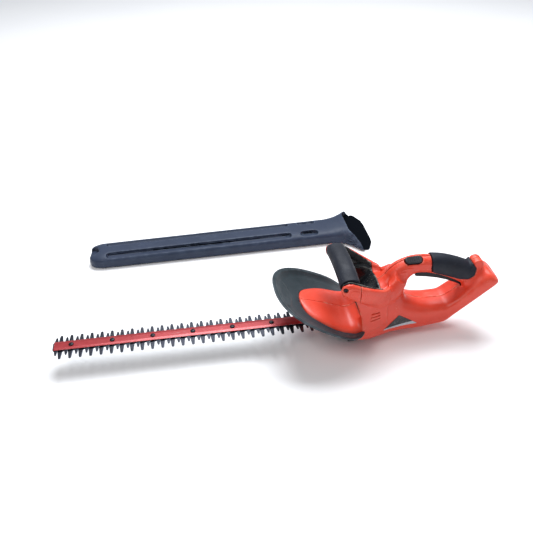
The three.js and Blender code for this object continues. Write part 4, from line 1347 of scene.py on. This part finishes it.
def groove(g, start, stop, y, top):
    """A long groove with sloping sides and rounded ends, pressed into the roof."""
    run = (stop - start) / 2
    away = np.hypot(np.maximum(np.abs(g.x - (start + stop) / 2) - run, 0), g.y - y)
    share = np.clip((GROOVE_HALF - away) / (GROOVE_HALF * 0.62), 0, 1)
    return GROOVE_DEEP * share * share * (3 - 2 * share) * (g.z > top / 2)


def cover_section(g, inset, dents):
    """The cover's section all along it, shrunk by a wall; its floor edges are the sharper ones."""
    roof, floor_half, high = eased(COVER, g.x)
    rise = g.z - high / 2
    tall = high / 2
    lean = np.clip(rise / tall, -1, 1)
    half = (roof + floor_half) / 2 + (roof - floor_half) / 2 * lean
    power = np.where(rise > 0, 3.3, 7.0)
    field = rounded_section(g.y, rise, half - inset, tall - inset, power)
    return evened(evened(field, g.step) + dents, g.step)


def plan_outline(g, corners):
    """A plan outline [(x, y), ...] carried right up."""
    across = SimpleNamespace(x=g.x, z=g.y.reshape(1, 1, -1))
    return outline(across, corners).transpose(0, 2, 1)


def blade_cover():
    g = Grid((-2, -94, -1.5), (COVER_LENGTH + 3, 94, 45), 1.45)
    high = eased(COVER, g.x)[2]
    dents = sum(groove(g, *place, high) for place in GROOVES)
    outer = common(cover_section(g, 0, dents), 0.5 - g.x, 6.0)
    hollow = np.maximum(cover_section(g, COVER_WALL, dents), HOLLOW_FROM - g.x)
    shape = cut(outer, hollow)
    shape = cut(shape, outline(g, MOUTH_SIDE), 0.5)
    shape = common(shape, plan_outline(g, MOUTH_PLAN), 0.4)
    hole = np.hypot(g.x - HANG_HOLE_AT, g.y) - 5
    shape = cut(shape, hole, 1.0)
    scoop = np.maximum(np.hypot(g.x - 10, (g.y - 5) * 0.72) - 12, high - 11 - g.z)
    shape = cut(shape, scoop, 2.5)
    points, faces = skin(shape, g, 3)
    turn = np.array([[math.cos(COVER_TURN), math.sin(COVER_TURN), 0],
                     [-math.sin(COVER_TURN), math.cos(COVER_TURN), 0], [0, 0, 1]])
    points = points @ turn + (*COVER_AT, 0)
    piece("blade_cover", points, faces, "cover_shell", "cover", TOOL_AT * (1, 1, 0))


blade_cover()

# ---- Floor and light


def floor():
    """A wide pale ground."""
    shape = bmesh.new()
    bmesh.ops.create_grid(shape, x_segments=2, y_segments=2, size=12)
    mesh = bpy.data.meshes.new("ground")
    shape.to_mesh(mesh)
    shape.free()
    ground = bpy.data.objects.new("ground", mesh)
    ground.location.z = -0.0005
    n = Nodes("ground")
    tone = n.ranged(n.noise(3, 4.0), 0.3, 0.7)
    n.feed("Base Color", n.mixed(tone, (0.93, 0.93, 0.935), (0.95, 0.95, 0.95)))
    n.set(n.shader, Roughness=0.9, Specular_IOR_Level=0.1)
    mesh.materials.append(n.material)
    bpy.context.scene.collection.objects.link(ground)


def area_light(name, place, aim, size, watts, colour):
    light = bpy.data.lights.new(name, "AREA")
    light.shape = "RECTANGLE"
    light.size, light.size_y = size
    light.energy = watts
    light.color = colour
    lamp = bpy.data.objects.new(name, light)
    lamp.matrix_world = Matrix.Translation(place) @ (
        (Vector(place) - Vector(aim)).to_track_quat("Z", "Y").to_matrix().to_4x4()
    )
    bpy.context.scene.collection.objects.link(lamp)


floor()
area_light("key", (-1.2, -0.9, 2.0), (-0.1, 0.1, 0.05), (0.8, 0.8), 16, (1.0, 0.98, 0.96))
area_light("top", (0.2, 1.1, 2.2), (-0.1, 0.1, 0.05), (1.8, 1.2), 84, (0.93, 0.96, 1.0))
area_light("side", (1.7, -0.7, 0.9), (0.1, 0.0, 0.08), (0.9, 0.9), 2, (1.0, 0.97, 0.94))
world = bpy.data.worlds.new("studio")
world.use_nodes = True
world.node_tree.nodes["Background"].inputs["Color"].default_value = (0.93, 0.95, 1.0, 1)
world.node_tree.nodes["Background"].inputs["Strength"].default_value = 0.38
bpy.context.scene.world = world
bpy.context.scene.view_settings.view_transform = "Standard"
